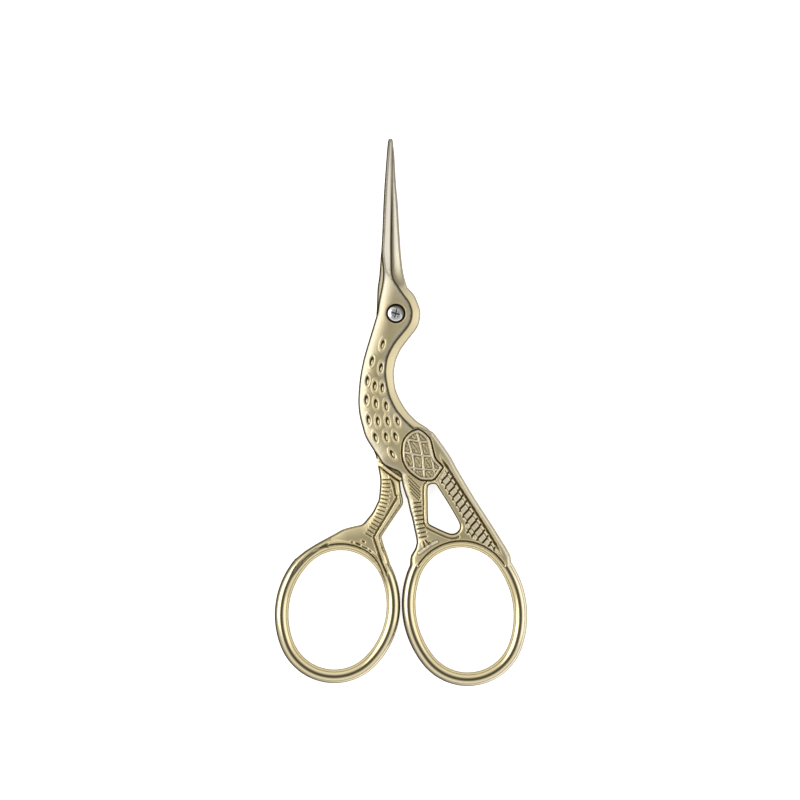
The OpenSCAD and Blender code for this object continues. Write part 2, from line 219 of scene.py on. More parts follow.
# %% [markdown]
# ## Forms in the relief
# A casting has no truly sharp edge: tumbling and polishing round each one, and the graver's cuts have
# soft lips. These few functions give the fall of a rounded edge, a groove's depth and a smooth step.

# %% Edge, groove and step
def fall(d, width, drop):
    """How far a rounded edge has dropped at this distance inside its outline."""
    t = np.clip(1 - d / np.maximum(width, 1e-6), 0, 1)
    return drop * (1 - np.sqrt(1 - t * t))


def dip(d, half):
    """1 on a line and 0 from this distance on, smooth at both ends."""
    t = np.clip(d / half, 0, 1)
    return (1 - t * t) ** 2


def ease(x, low, high):
    """Rises smoothly from 0 to 1 between two values."""
    t = np.clip((x - low) / (high - low), 0, 1)
    return t * t * (3 - 2 * t)


def crown(d, reach, slope):
    """How far a crowned face has dropped inside its outline: steepest there, and flat from this reach on."""
    return slope * np.clip(reach - d, 0, reach) ** 2 / (2 * reach)


print("a 1 mm edge drops", round(float(fall(0.3, 1, 1)), 2), "mm at 0.3 mm inside its outline")

# %% [markdown]
# A surface has three values at each of its points. The first is the height. The second is painted shade: how
# dark the metal is drawn in grooves, pits and gaps and along edges, where shade falls; it also makes the
# finish duller there. The third says how pale the plating is drawn: partly wear where handling rubbed it,
# partly painted highlight on edges and raised places. A bump map could draw the same marks, but heights give
# a true form from every side, and both tones can follow the very lines that the heights follow.

# %% Surface
class Surface:
    """Heights at some points, and from 0 to 1 their painted shade and how pale they are worn and highlighted.
    """

    def __init__(self, points):
        self.points = points
        self.z = np.zeros(len(points))
        self.cut = np.zeros(len(points))
        self.wear_and_highlight = np.zeros(len(points))

    def darken(self, dark, at=slice(None)):
        """Paints at least this much shade on these points."""
        self.cut[at] = np.maximum(self.cut[at], dark)

    def rub_and_highlight(self, pale, at=slice(None)):
        """Makes these points at least so pale, as worn places and painted highlight."""
        self.wear_and_highlight[at] = np.maximum(self.wear_and_highlight[at], pale)

    def paint_shade_line(self, far, width, dark):
        """Paints a shade line: darkens the surface up to this distance from a line."""
        self.darken(dark * (1 - ease(far, 0.4 * width, width)))

    def groove(self, line, half, depth, taper=0):
        """Cuts a round-bottomed groove with a low lip, which may run out over some steps at both its ends."""
        line = np.array(line, float)
        room = 2 * half
        near = np.all((self.points > line.min(0) - room) & (self.points < line.max(0) + room), axis=1)
        if near.any():
            far, place = nearest(self.points[near], line)
            fade = ease(np.minimum(place, len(line) - 1 - place), -0.01, taper) if taper else 1
            reach = half * (0.25 + 0.75 * fade)
            pit = dip(far, reach)
            lip = (0.08 if taper else 0.22) * dip(abs(far - 1.25 * reach), 0.5 * reach)
            self.z[near] += depth * fade * (lip - pit)
            # Painted shade in the groove's floor.
            self.darken((0.5 + 0.5 * fade) * ease(pit, 0.45, 0.95), near)

    def ridge(self, line, half, height):
        """Raises a low, worn ridge with a painted highlight, and a painted shade line at each side."""
        far, _ = nearest(self.points, np.array(line, float))
        self.z += height * dip(far, half)
        self.rub_and_highlight(0.75 * dip(far, half))
        self.paint_shade_line(abs(far - 1.2 * half), 0.5 * half, 0.7)


trial = Surface(np.zeros((1, 2)))
trial.groove([(-1, 0), (1, 0)], half=0.3, depth=0.2)
print("a trial groove's floor lies at", round(float(trial.z[0]), 2), "mm")

# %% [markdown]
# ## Outlines
# An outline is a list of runs that meet at corners. The front half's go anticlockwise from its blade's tip:
# the blade's spine, the breast and belly, the thigh, the leg, the finger ring, the tail, the top of the
# wing, and back up the neck's edge, which lies on the other half like a scissor's shear line. After its
# points, each run says how wide and how deep its edge is rounded at its start and at its end.

# %% The front half's outline
FRONT_RUNS = [
    ([(-1.5, 36.7), (-1.68, 36), (-1.87, 34), (-2.1, 31), (-2.45, 26), (-2.7, 21), (-2.85, 17),
      (-3.05, 13.5)],
     (0.08, 0.1), (0.1, 0.12)),
    ([(-3.05, 13.5), (-2.95, 11.3), (-2.7, 9), (-2.8, 6.8), (-3.15, 4.8), (-3.6, 2.4), (-3.9, 0.3),
      (-4.4, -1.5), (-5, -3.5), (-6.5, -8.5), (-7.2, -11.5), (-7.65, -14.5), (-7.9, -18.2), (-7.7, -21),
      (-7.1, -23.6), (-6.3, -26.1), (-4.65, -28.8), (-3.7, -30.1)], (0.25, 0.25), (0.7, 0.45)),
    ([(-3.7, -30.1), (-2.7, -31.6), (-1.4, -32.4), (0.3, -33.1), (0.8, -33.5), (1.05, -33.9)],
     (0.7, 0.45), (0.6, 0.45)),
    ([(1.05, -33.9), (1.2, -35.1), (1.55, -36.6), (2.1, -38.3), (2.45, -39.2), (2.95, -41.5),
      (3.4, -43.1), (3.9, -45.5), (4.25, -47.1), (4.38, -48.2)], (1.3, 0.6), (1.1, 0.6)),
    ([(4.38, -48.2), (4.05, -49.4), (3.4, -50.5), (2.9, -51.5), (2.55, -52.6)], (0.6, 0.6), (1.2, 1.2)),
    "ring",
    ([(24.4, -52.1), (24.15, -51), (23.3, -49.4), (21.7, -46.8), (20.2, -44.4), (16.6, -38.85),
      (13, -32.8), (11.4, -29.9), (9.1, -26.6), (7.9, -25)], (0.95, 0.85), (0.9, 0.8)),
    ([(7.9, -25), (7.3, -24.65), (6.5, -24.4), (5.8, -24.1), (5.3, -23.85), (4.6, -23.8)],
     (0.5, 0.5), (0.25, 0.2)),
    ([(4.6, -23.8), (4.1, -23.85), (3.65, -24.1)], (0.2, 0.2), (0.2, 0.2)),
    ([(3.65, -24.1), (2.3, -22.8), (1, -21.4), (-0.1, -19.9), (-1.2, -17.6), (-1.7, -15.8), (-2, -14.2),
      (-2.2, -12.5), (-2.1, -11), (-1.8, -9.3), (-1.1, -7.7), (-0.15, -6.1), (1.1, -4.5), (2.4, -2.9),
      (3.15, -1.5), (3.4, 0), (3.25, 1.1), (2.75, 2.4), (1.6, 4), (0.5, 5.6), (-0.4, 7), (-0.8, 8.4),
      (-0.95, 10.5)],
     (0.2, 0.18), (0.15, 0.12)),
    ([(-0.95, 10.5), (-1, 14.4), (-0.95, 18.5), (-0.9, 22.6), (-0.85, 30.5), (-0.75, 35.6)],
     (0.1, 0.05), (0.1, 0.05)),
    ([(-0.75, 35.6), (-0.76, 36.4), (-0.85, 36.72), (-1.15, 36.8), (-1.5, 36.7)], (0.1, 0.1), (0.08, 0.1)),
]

# %% [markdown]
# The back half's runs go round in the same way: the cutting edge first, then the breast and belly, the
# leg's outer side, the foot, the finger ring, the leg's inner side, the hip that lies hidden behind the
# wing, the rim of the neck and the blade's spine.

# %% The back half's outline
BACK_RUNS = [
    ([(-1.1, 36.6), (-1.45, 32), (-1.65, 28), (-1.9, 23), (-2.3, 18.6), (-2.85, 14.5)],
     (0.1, 0.05), (0.1, 0.05)),
    ([(-2.85, 14.5), (-3.15, 12.8), (-3.35, 10.4), (-3.5, 7.9), (-3.85, 5.4), (-3.95, 2.8), (-4.05, 0.6),
      (-4.25, -1.5), (-4.8, -4), (-6.1, -8.5), (-7.1, -13.5), (-7.5, -18.2), (-6.7, -23.5), (-5, -28),
      (-4.25, -29.8)], (0.2, 0.2), (0.3, 0.3)),
    ([(-4.25, -29.8), (-3.95, -31.1), (-3.7, -32.4), (-3.45, -33.7), (-3.3, -35), (-3.35, -36.5),
      (-3.6, -39), (-4.1, -40.2), (-4.8, -41.6), (-5.7, -42.8), (-6.6, -43.9)], (0.7, 0.4), (0.8, 0.45)),
    ([(-6.6, -43.9), (-7.3, -44.4), (-8.8, -44.75), (-11, -45.35), (-12.8, -46.3), (-15.8, -47.95),
      (-17.6, -49)],
     (0.4, 0.4), (0.9, 0.9)),
    ([(-17.6, -49), (-19.4, -50.2), (-21.1, -51.7)], (0.9, 0.9), (1.4, 1.4)),
    "ring",
    ([(-0.95, -54.4), (-1.15, -52.8), (-1.75, -50.8), (-2.35, -49.2), (-2.75, -47.9), (-3, -47)],
     (1.2, 1.2), (0.75, 0.75)),
    ([(-3, -47), (-2.7, -46.4), (-1.1, -44), (0.3, -41.9), (1.2, -40.6), (1.5, -39.9), (1.45, -38.8),
      (1.1, -37.2), (0.9, -35.4)], (0.75, 0.75), (0.7, 0.7)),
    ([(0.9, -35.4), (3.8, -33.3), (6.2, -30.6), (7.4, -27.6), (7.6, -25)], (0.2, 0.2), (0.3, 0.3)),
    ([(7.6, -25), (6.6, -24), (5.3, -23.2), (4.3, -22.5), (3.7, -21.9), (2.8, -21), (1.9, -19.8),
      (1.1, -18.5), (0.5, -17.3), (-0.1, -15.6), (-0.35, -13.6), (-0.4, -12.3), (-0.2, -11), (0.05, -9.8),
      (0.6, -8.5), (1.3, -7.2), (3.2, -4.7), (4.2, -3.4), (4.85, -2.1), (5.15, -0.6), (5.15, 0.6),
      (4.85, 1.7), (3.9, 3.9), (2.4, 5.6)], (0.4, 0.4), (0.4, 0.4)),
    ([(2.4, 5.6), (1.9, 7.2), (1.5, 9.1), (1.15, 11.8), (0.9, 15.2), (0.65, 19.2), (0.45, 23),
      (0.1, 26.8), (-0.1, 30), (-0.3, 33.6), (-0.55, 35.6)], (0.4, 0.4), (0.3, 0.3)),
    ([(-0.55, 35.6), (-0.62, 36.4), (-0.75, 36.7), (-0.95, 36.78), (-1.1, 36.6)], (0.1, 0.1), (0.1, 0.05)),
]

# %% [markdown]
# The legs and the tail flow into the rings. Where a run meets its ring, its last steps are pulled over to
# the ring's own line, so that no kink is left, and the ring's edge is rounded by half its stock.

# %% Closed outlines
BLEND = 8


def build_outline(runs, ring):
    """The closed outline, with the width and the drop of the rounded edge at each of its points."""
    lines, edges = [], []
    for i, run in enumerate(runs):
        if run == "ring":
            before, after = runs[i - 1][0][-1], runs[i + 1][0][0]
            p = ring.arc(STOCK, before, after)
            lines[-1][-BLEND:] += (p[0] - lines[-1][-1]) * np.linspace(0, 1, BLEND)[:, None]
            ring_end = p[-1]
            e = np.tile([STOCK / 2, STOCK / 2], (len(p), 1))
        else:
            p = smooth(run[0])
            if i and runs[i - 1] == "ring":
                p[:BLEND] += (ring_end - p[0]) * np.linspace(1, 0, BLEND)[:, None]
            first, last = np.array(run[1]), np.array(run[2])
            e = first + np.linspace(0, 1, len(p))[:, None] * (last - first)
        lines.append(p)
        edges.append(e)
    print("outline:", sum(len(p) for p in lines), "points in", len(lines), "runs")
    return closed(lines), closed(edges), lines


front_line, front_edge, front_lines = build_outline(FRONT_RUNS, FRONT_RING)
back_line, back_edge, back_lines = build_outline(BACK_RUNS, BACK_RING)

# %% [markdown]
# The openwork between the leg and the tail is a rounded triangle. Its left and lower walls are rounded
# like the leg, and the wall under the tail is steeper. The wing is an oval with one drawn-out tip. Behind
# it lies the hip, the line along which the front half grows to the full thickness.

# %% Openwork, wing and hip
OPENWORK = closed([
    smooth([(7.45, -35.85), (6.95, -36.1), (6.7, -36.7), (6.7, -39.5), (6.75, -43), (6.95, -44.1),
            (7.5, -44.55)]),
    smooth([(7.5, -44.55), (9.5, -45.5), (11.4, -46.25), (12.6, -46.15), (13.4, -45.3), (13.45, -44.4),
            (13.1, -43.5)]),
    smooth([(13.1, -43.5), (11, -39.9), (9.1, -36.9), (8.6, -36.1), (8.1, -35.8), (7.45, -35.85)])])
WING = closed([
    smooth([(4.7, -24.25), (3.3, -24.75), (2.1, -25.8), (1.45, -27), (1.25, -28.5), (1.25, -29.6),
            (1.55, -31.2), (2.6, -33), (4.1, -34.3), (5.4, -35), (7.4, -35.05), (8.3, -34.7)]),
    smooth([(8.3, -34.7), (9.2, -33.4), (9.95, -32.3)], 0.2),
    smooth([(9.95, -32.3), (9.5, -31.7), (8.4, -30.5), (8, -29.3), (7.55, -27.4), (7.2, -26.3),
            (6.6, -25.6), (5.7, -24.8), (4.7, -24.25)])])
HIP = smooth([(0.9, -35.4), (3.8, -33.3), (6.2, -30.6), (7.4, -27.6), (7.6, -24.8)])
print("wing", len(WING), "points, openwork", len(OPENWORK), "points")

# %% [markdown]
# ## Feather marks, bricks and the wing's lattice
# The feather marks were struck with a small oval punch: each is a boat-shaped pit about 2.5 mm long, with a
# lip where the metal was pushed up and a seed left in its middle. They follow the neck in rows, and lean
# more towards the belly. Copies of one modelled pit would need a clean join round each, so the pit is a
# formula instead, and it is added wherever a mark stands.

# %% Feather marks
FEATHERS = [(-2.75, -6.5, -12), (-5, -10, -10), (-3.1, -11.4, -6), (-5.95, -14.1, -4), (-4.4, -15.2, -2),
            (-2.8, -15.6, 0), (-6.15, -18.1, 0), (-4.15, -18.9, 6), (-2, -19.4, 8), (-5.7, -22.3, 8),
            (-3.75, -22.6, 8), (-1.7, -22.6, 12), (0.4, -22.6, 16), (-4.25, -26, 16), (-2, -25.9, 14),
            (-0.05, -25.85, 18), (-0.7, -29.5, 30)]
MARK_LENGTH, MARK_WIDTH = 2.55, 1.15
MARK_DEPTH, LIP_HEIGHT, SEED_HEIGHT = 0.32, 0.08, 0.2


def feather_marks(surface, marks):
    """Strikes marks, each given by its middle and its lean in degrees."""
    for x, y, lean in marks:
        a = math.radians(lean)
        q = surface.points - (x, y)
        near = np.flatnonzero(np.hypot(*q.T) < MARK_LENGTH)
        q = q[near]
        u = (q[:, 0] * math.cos(a) + q[:, 1] * math.sin(a)) / (MARK_WIDTH / 2)
        v = (q[:, 1] * math.cos(a) - q[:, 0] * math.sin(a)) / (MARK_LENGTH / 2)
        r = np.hypot(u, v)
        pit = dip(r, 1.0)
        lip = dip(abs(r - 1.15), 0.26)
        seed = dip(np.hypot((u - 0.15) / 0.5, (v + 0.2) / 0.55), 1)
        surface.z[near] += LIP_HEIGHT * lip - MARK_DEPTH * pit + SEED_HEIGHT * seed
        # Painted shade in each pit, darker on one side as if lit from the other, and lighter on the seed.
        shade = 0.95 - 0.4 * u + 0.2 * v
        dark = ease(pit, 0.02, 0.3) * (1 - 0.9 * ease(seed, 0.1, 0.5)) * shade
        surface.darken(np.clip(dark, 0, 1), near)


print(len(FEATHERS), "feather marks of", MARK_LENGTH, "mm")

# %% [markdown]
# The tail is a sunk band of slanting bricks between the openwork and the rim's bead: a main column, and
# three columns of smaller bricks beside it, a little out of step. The whole band is one formula in two
# coordinates, along the rim and away from it, so that the pitch of 1.42 mm is written once.

# %% Tail bricks
RIM_TOP, RIM_WAY = np.array([10.9, -32.4]), np.array([0.53, -0.848])
TAIL_FIELD = closed([
    smooth([(10.9, -32.6), (16.3, -41.2), (21.9, -50.5)], 0.5),
    smooth([(21.9, -50.5), (20.9, -50.1), (19.6, -49.2), (18.2, -48.4), (16.8, -47.7), (15.5, -46.8),
            (14.5, -45.9)], 0.5),
    smooth([(14.5, -45.9), (14.6, -44.6), (14.1, -43.2), (12, -39.6), (9.6, -35.9), (9, -35.2)], 0.5),
    smooth([(9, -35.2), (10.3, -32.8), (10.9, -32.6)], 0.5)])
BRICK_PITCH, BRICK_SLANT, BRICK_START = 1.42, 0.254, 0.75
MAIN_MIDDLE = 1.6
# Each column's two sides, as distances from the rim, and how far it is out of step, in mm.
BRICK_COLUMNS = [(0.12, 0.78, -0.2), (0.86, 2.42, 0.0), (2.5, 3.3, 0.22), (3.38, 4.6, 0.4)]
FIELD_DEPTH, BRICK_HEIGHT, BRICK_TILT = 0.52, 0.42, 0.3


def tail_bricks(surface):
    points = surface.points
    q = points - RIM_TOP
    u = q @ RIM_WAY
    v = -q @ np.array([-RIM_WAY[1], RIM_WAY[0]])
    raised, tilt = np.zeros((2, len(points)))
    for low, high, shift in BRICK_COLUMNS:
        row = (u - BRICK_SLANT * (v - MAIN_MIDDLE) - BRICK_START - shift) / BRICK_PITCH
        number = np.floor(row + 0.5)
        wobble = 0.03 * np.sin(number * 12.9 + low * 7)
        along = abs(row - number + wobble) * BRICK_PITCH
        across = np.minimum(v - low, high - v)
        brick = (1 - ease(along, 0.42, 0.64)) * ease(across, -0.08, 0.12)
        tilt += np.where(brick > raised, row - number, 0) * brick
        raised = np.maximum(raised, brick)
    edge, _ = nearest(points, TAIL_FIELD, loop=True)
    sunk = ease(edge, 0.0, 0.16) * inside(points, TAIL_FIELD)
    surface.z += sunk * (TOP - FIELD_DEPTH + BRICK_HEIGHT * raised - BRICK_TILT * tilt - surface.z)
    # Painted shade in the gaps between bricks, and pale wear and painted highlight on their tops.
    surface.darken(sunk * (1 - ease(raised, 0.1, 0.5)))
    surface.rub_and_highlight(0.4 * sunk * raised)


print(len(BRICK_COLUMNS), "columns of bricks,", BRICK_PITCH, "mm from brick to brick")

# %% [markdown]
# The wing is a low lens with a bright bead round it, filled with a basket weave: smooth straps cross it both
# ways, and the small fields between them are sunk and ribbed like feather barbs. Straps are drawn as lines
# with a width, so one distance tells strap from field, and painted shade marks the step between them. The
# bead and the straps are painted pale as highlight and wear, and the fields' troughs are painted dark.

# %% Wing
WING_STRAPS = [([(2.2, -25.6), (3.1, -28.4), (3.7, -31), (4, -34.6)], 0.5),
               ([(4.2, -24.4), (5, -27), (5.6, -30), (6, -35)], 0.6),
               ([(6.2, -25), (7, -28), (7.7, -31.2), (8.3, -34.6)], 0.5),
               ([(1.4, -26.2), (3.4, -26.6), (5.4, -26.9), (7.8, -27)], 0.5),
               ([(1, -29), (3.1, -29.4), (5.4, -29.8), (8.4, -30)], 0.6),
               ([(1.4, -32), (3.8, -32.4), (6, -32.7), (9.6, -32.8)], 0.5)]
WING_AT, WING_REACH = np.array([5.4, -29.8]), 7.5
BARB_PITCH, BARB_WAY = 0.66, np.array([0.78, 0.62])
BULGE, BORDER_DEPTH, BEAD_HEIGHT, FIELD_SINK, BARB_HEIGHT, STRAP_HEIGHT = 0.26, 0.36, 0.2, 0.26, 0.13, 0.2


def wing_relief(surface):
    near = np.flatnonzero(np.hypot(*(surface.points - WING_AT).T) < WING_REACH)
    if not len(near):
        return
    p = surface.points[near]
    within = inside(p, WING)
    edge, _ = nearest(p, WING, loop=True)
    lens = np.sqrt(np.clip(1 - np.hypot(*((p - WING_AT) / (6.4, 7.6)).T) ** 2, 0, 1))
    border = dip(edge, 0.26)
    bead = dip(abs(edge - 0.45), 0.3) * within
    field = ease(edge, 0.68, 0.85) * within
    strap = np.min([nearest(p, smooth(line))[0] - width / 2 for line, width in WING_STRAPS], axis=0)
    sunk = ease(strap, -0.14, 0.12) * field
    barb = np.cos(p @ BARB_WAY * math.tau / BARB_PITCH) * ease(strap, 0.1, 0.35) * field
    surface.z[near] += within * BULGE * lens * ease(edge, 0, 0.25) - BORDER_DEPTH * border
    surface.z[near] += BEAD_HEIGHT * bead - FIELD_SINK * sunk + BARB_HEIGHT * barb
    surface.z[near] -= 0.12 * dip(abs(edge - 0.78), 0.2) * within
    surface.z[near] += STRAP_HEIGHT * np.sqrt(np.clip(-strap / 0.42, 0, 1)) * field
    step = dip(abs(strap - 0.06), 0.2) * field
    # Painted shade in the border, along the steps and in the barbs' troughs; pale highlight and wear on
    # straps and bead.
    surface.darken(np.maximum(ease(border, 0.25, 0.75), 0.8 * ease(step, 0.3, 0.85)), near)
    surface.darken(0.7 * dip(abs(edge - 0.78), 0.16) * within, near)
    surface.darken((0.1 - 0.65 * np.minimum(barb, 0)) * sunk, near)
    surface.rub_and_highlight(0.45 * (1 - sunk) * field + 0.6 * bead, near)


print(len(WING_STRAPS), "straps, barbs", BARB_PITCH, "mm apart")

# %% [markdown]
# ## Heights of the front half
# Blades first: along the spine a narrow bevel, then one ground face down to the cutting edge. The grind
# runs out on the neck, where the plate's own height simply caps it. The bevel is duller than the face and
# darker with painted shade, and a painted shade line parts the two.

# %% Blades
TIP_Y, BLADE_ROOT = 36.8, 8.5
TIP_THICK, TIP_EDGE, ROOT_EDGE = 0.6, 0.25, 0.55
BEVEL, SOFT = 0.5, 0.06
FRONT_SPINE = np.vstack(front_lines[:2])
FRONT_CUT = np.vstack(front_lines[-3:-1])
BACK_SPINE = np.vstack(back_lines[-3:-1])
BACK_CUT = np.vstack(back_lines[:2])


def blade_height(points, spine, edge):
    """Thickness of a ground blade, from the mating face to its outer face."""
    y = points[:, 1]
    to_spine, to_edge = nearest(points, spine)[0], nearest(points, edge)[0]
    width = to_spine + to_edge
    thick = np.interp(y, [BLADE_ROOT - 6, BLADE_ROOT, TIP_Y], [PLATE + 3, PLATE, TIP_THICK])
    sharp = np.interp(y, [BLADE_ROOT - 3.5, BLADE_ROOT + 1, TIP_Y], [PLATE + 0.5, ROOT_EDGE, TIP_EDGE])
    bevel = np.minimum(BEVEL, 0.45 * width)
    near = thick * (0.6 + 0.4 * to_spine / bevel)
    far = sharp + (thick - sharp) * to_edge / np.maximum(width - bevel, 0.01)
    return (near + far - np.sqrt((near - far) ** 2 + SOFT ** 2)) / 2 + 0.3 * SOFT


def grind_painted_shade(surface, spine, edge):
    """Painted shade on a duller bevel along the spine, and a painted shade line between it and the face."""
    on = np.flatnonzero(surface.points[:, 1] > 5)
    if not len(on):
        return
    p = surface.points[on]
    to_spine, to_edge = nearest(p, spine)[0], nearest(p, edge)[0]
    bevel = np.minimum(BEVEL, 0.45 * (to_spine + to_edge))
    # Painted shade on the bevel and along its inner line.
    tone = np.maximum(0.3 * (1 - ease(to_spine, bevel - 0.1, bevel)), 0.62 * dip(abs(to_spine - bevel), 0.2))
    surface.darken(tone * ease(p[:, 1], 6, 12), on)


print("blades", TIP_Y - BLADE_ROOT, "mm long, bevel", BEVEL, "mm")

# %% [markdown]
# The legs are the stork's own: long strokes at the thigh, then a ladder of short cuts down to the foot.
# Three toes are cut below it, over a low ridge for the sole that is painted pale as a highlight, and a groove
# parts the foot from the ring. Each cut is a short line with a width and a depth, as a graver makes it.

# %% The front leg's engraving
FRONT_STROKES = [[(2.4, -33.9), (5.1, -36.7)], [(2.6, -34.9), (5.2, -37.5)], [(2.8, -35.8), (5.2, -38.2)],
                 [(2.95, -36.6), (5.1, -38.8)], [(3.15, -37.5), (4.9, -39.3)]]
FRONT_LADDER = [(4.55, -39.7), (4.65, -40.6), (4.75, -41.5), (4.9, -42.4), (5, -43.3), (5.15, -44.2),
                (5.35, -45.1), (5.55, -46), (5.75, -46.9)]
FRONT_TOES = [[(6.2, -47.6), (6.9, -48.4)], [(5.8, -47.9), (6.05, -48.9)], [(7.1, -48), (7.15, -48.2)]]
FRONT_SOLE = [(4.9, -50.3), (6.2, -49.3), (7.2, -48.6), (8.6, -47.9)]
FRONT_FOOT = FRONT_RING.arc(1.38, (23.3, -53.4), (4.7, -53.8))
RIM_GROOVE = smooth([(8.9, -28.7), (9.7, -30.6), (10.9, -32.4), (13.5, -36.6), (16.36, -41),
                     (19.4, -45.9), (22.2, -50.6), (22.6, -51.6)])
RUNG_LENGTH = 1.5


def ladder(surface, places, half, depth):
    """Short cuts across a row of places, each square to the row."""
    way = np.gradient(np.array(places, float), axis=0)
    across = np.c_[-way[:, 1], way[:, 0]] / np.linalg.norm(way, axis=1)[:, None] * RUNG_LENGTH / 2
    for place, d in zip(places, across):
        surface.groove([place - d, place + d], half, depth)


def front_engraving(surface):
    feather_marks(surface, FEATHERS)
    tail_bricks(surface)
    wing_relief(surface)
    surface.groove(RIM_GROOVE, half=0.42, depth=0.4, taper=16)
    for stroke in FRONT_STROKES:
        surface.groove(stroke, half=0.2, depth=0.2)
    ladder(surface, FRONT_LADDER, half=0.26, depth=0.26)
    for toe in FRONT_TOES:
        surface.groove(toe, half=0.3, depth=0.25)
    # The sole: a low ridge with a painted highlight and painted shade lines beside it.
    surface.ridge(FRONT_SOLE, half=0.32, height=0.2)
    surface.groove(FRONT_FOOT, half=0.32, depth=0.34, taper=4)


print(len(FRONT_STROKES), "strokes,", len(FRONT_LADDER), "rungs,", len(FRONT_TOES), "toes")

# %% [markdown]
# A painted shade line runs along every outline, where the rounded edge turns right down. It is darkest where
# the outline faces left, as in the photograph. So each point of an outline knows how far its edge is rounded
# and how dark its painted rim shade is. The last value, 9 mm, is added to a distance where a form must not
# appear.

# %% Rims
FAR_OFF = 9


def edge_values(points, line, edge):
    """Distance inside an outline, the width and drop of its rounded edge there, and its painted rim shade."""
    far, place = nearest(points, line, loop=True)
    i = place.astype(int) % len(edge)
    t = (place - np.floor(place))[:, None]
    way = np.roll(line, -3, axis=0) - np.roll(line, 2, axis=0)
    out = np.c_[way[:, 1], -way[:, 0]] / np.linalg.norm(way, axis=1)[:, None]
    # Painted rim shade: darkest where the outline faces left.
    rim_shade = np.clip(0.7 - 0.45 * out[:, 0] - 0.1 * out[:, 1], 0.55, 1)
    return far, (edge[i] * (1 - t) + edge[(i + 1) % len(edge)] * t).T, rim_shade[i]


def paint_rim_shade(surface, far, rim, out):
    """The painted shade line along an outline, widest on the left of a ring, and the one round its hole."""
    surface.paint_shade_line(far, 0.35 + 0.15 * rim + 0.25 * (rim - 0.5) * (out < STOCK), rim)
    surface.paint_shade_line(abs(out), 0.4, 0.6)


print("the front half's edge is rounded over", front_edge[:, 0].min(), "to", front_edge[:, 0].max(), "mm")

# %% [markdown]
# Each half's height is now one function of a place on the plane. The front half's is the highest of its
# plate and its ring's bar, less every cut. The foot is very slightly crowned, as a polished blank is, and
# that is what makes the light fade over it.

# %% The front half's plate
FRONT_LEG_END = -56
NAPE = front_lines[1][::2]
NAPE_DROP, LEG_DROP, RING_LIFT, END_DROP = 0.64, 0.12, 0.05, 0.3
STEEP_X, STEEP_Y = 8.9, -44


def bar_or_plate(plate, out):
    """The higher of a plate and its ring's bar."""
    return np.maximum(plate, np.where(out < STOCK, MIDDLE + bar_height(out), 0))


def front_plate(points, far, width, drop, hole, out, nape):
    x, y = points.T
    plate = np.full(len(points), TOP) - fall(far, width, drop)
    plate -= NAPE_DROP * nape * ease(y, -32, -28) * (1 - ease(y, 6, 12))
    blade = FRONT_MATE + blade_height(points, FRONT_SPINE, FRONT_CUT)
    plate = np.where(y > 2, np.minimum(plate, blade), plate)
    steep = (x > STEEP_X) & (y > STEEP_Y)
    plate -= fall(hole, np.where(steep, 0.35, 0.75), np.where(steep, 0.6, 0.7))
    level = LEG_DROP * ease(-y, 34, 36) - RING_LIFT * (1 - ease(out, CREST, 3.5))
    level += crown(far, 2.4, 0.22) * ease(-y, 33, 36) * (x < 9) + END_DROP * ease(-y, 52, 55.5)
    return np.where((y > FRONT_LEG_END) & (out > CREST), plate - level, MIDDLE)


print("the nape drops", NAPE_DROP, "mm to its edge, and the leg lies", LEG_DROP, "mm low")

# %% [markdown]
# A fine groove runs round the openwork, except along its steep wall, and painted shade darkens it and the
# openwork's edge. The neck and the nape are painted pale along their edges, partly as wear and partly as
# highlight, while the leg keeps its full golden colour. A painted shade line follows the cutting edge.

# %% The front half's two faces
def front_top(points):
    x, y = points.T
    surface = Surface(points)
    far, (width, drop), rim = edge_values(points, front_line, front_edge)
    nape = np.clip(1 - nearest(points, NAPE)[0] / 3.2, 0, 1) ** 2
    hole, _ = nearest(points, OPENWORK, loop=True)
    out = FRONT_RING.out(points)
    surface.z = bar_or_plate(front_plate(points, far, width, drop, hole, out, nape), out)
    around = abs(hole - 0.9) + FAR_OFF * ease(x + 0.584 * y, -14, -13.2)
    surface.z -= 0.3 * dip(around, 0.36)
    # Painted shade in the groove round the openwork and along its edge.
    surface.darken(np.maximum(dip(around, 0.22), 0.95 * (1 - ease(hole, 0.14, 0.36))))
    leg = ease(-y, 31, 35) * (1 - ease(-y, 51, 55)) * (x < 9)
    golden = leg * ease(nearest(points, front_lines[3])[0], 1, 1.4)
    # Pale wear and painted highlight along the edges and over the nape.
    surface.wear_and_highlight = np.maximum(0.5 * (1 - ease(far, 0.4, 1.3)), 0.8 * nape) * (1 - golden)
    paint_rim_shade(surface, far, rim, out)
    # Painted shade line along the cutting edge, fading towards the tip.
    surface.paint_shade_line(nearest(points, FRONT_CUT)[0], 0.28, 1 - 0.5 * ease(y, 18, 32))
    grind_painted_shade(surface, FRONT_SPINE, FRONT_CUT)
    front_engraving(surface)
    return surface


FRONT_THICK = closed([HIP + (0.45, -0.45), smooth([(8.05, -25.25), (12, -22), (30, -50)], 1),
                      smooth([(30, -50), (30, -60), (0, -60)], 1),
                      smooth([(0, -60), (0, -40), (1.35, -35.85)], 1)])


def front_low(points):
    """The rear face: a copy of the front on the thick leg, tail and ring, and the flat mating face above."""
    surface = front_top(points)
    ring = FRONT_RING.out(points) < STOCK + 0.001
    copied = inside(points, FRONT_THICK) | (ring & (points[:, 1] < -46))
    surface.z = np.where(copied, TOP - np.minimum(surface.z, TOP), FRONT_MATE)
    surface.cut *= copied
    return surface


neck = front_top(np.array([(-1.2, 7.0)])).z[0] - FRONT_MATE
print("the front half's neck is", round(float(neck), 2), "mm thick in its middle")

# %% [markdown]
# ## Heights of the back half
# Its neck is a plain plate whose long right edge shows as a rounded rim beside the front half's neck. The
# leg steps up from the mating face in front of the front half's belly. Its ladder lies in a field that is
# a little lower than the bead along its inner side.

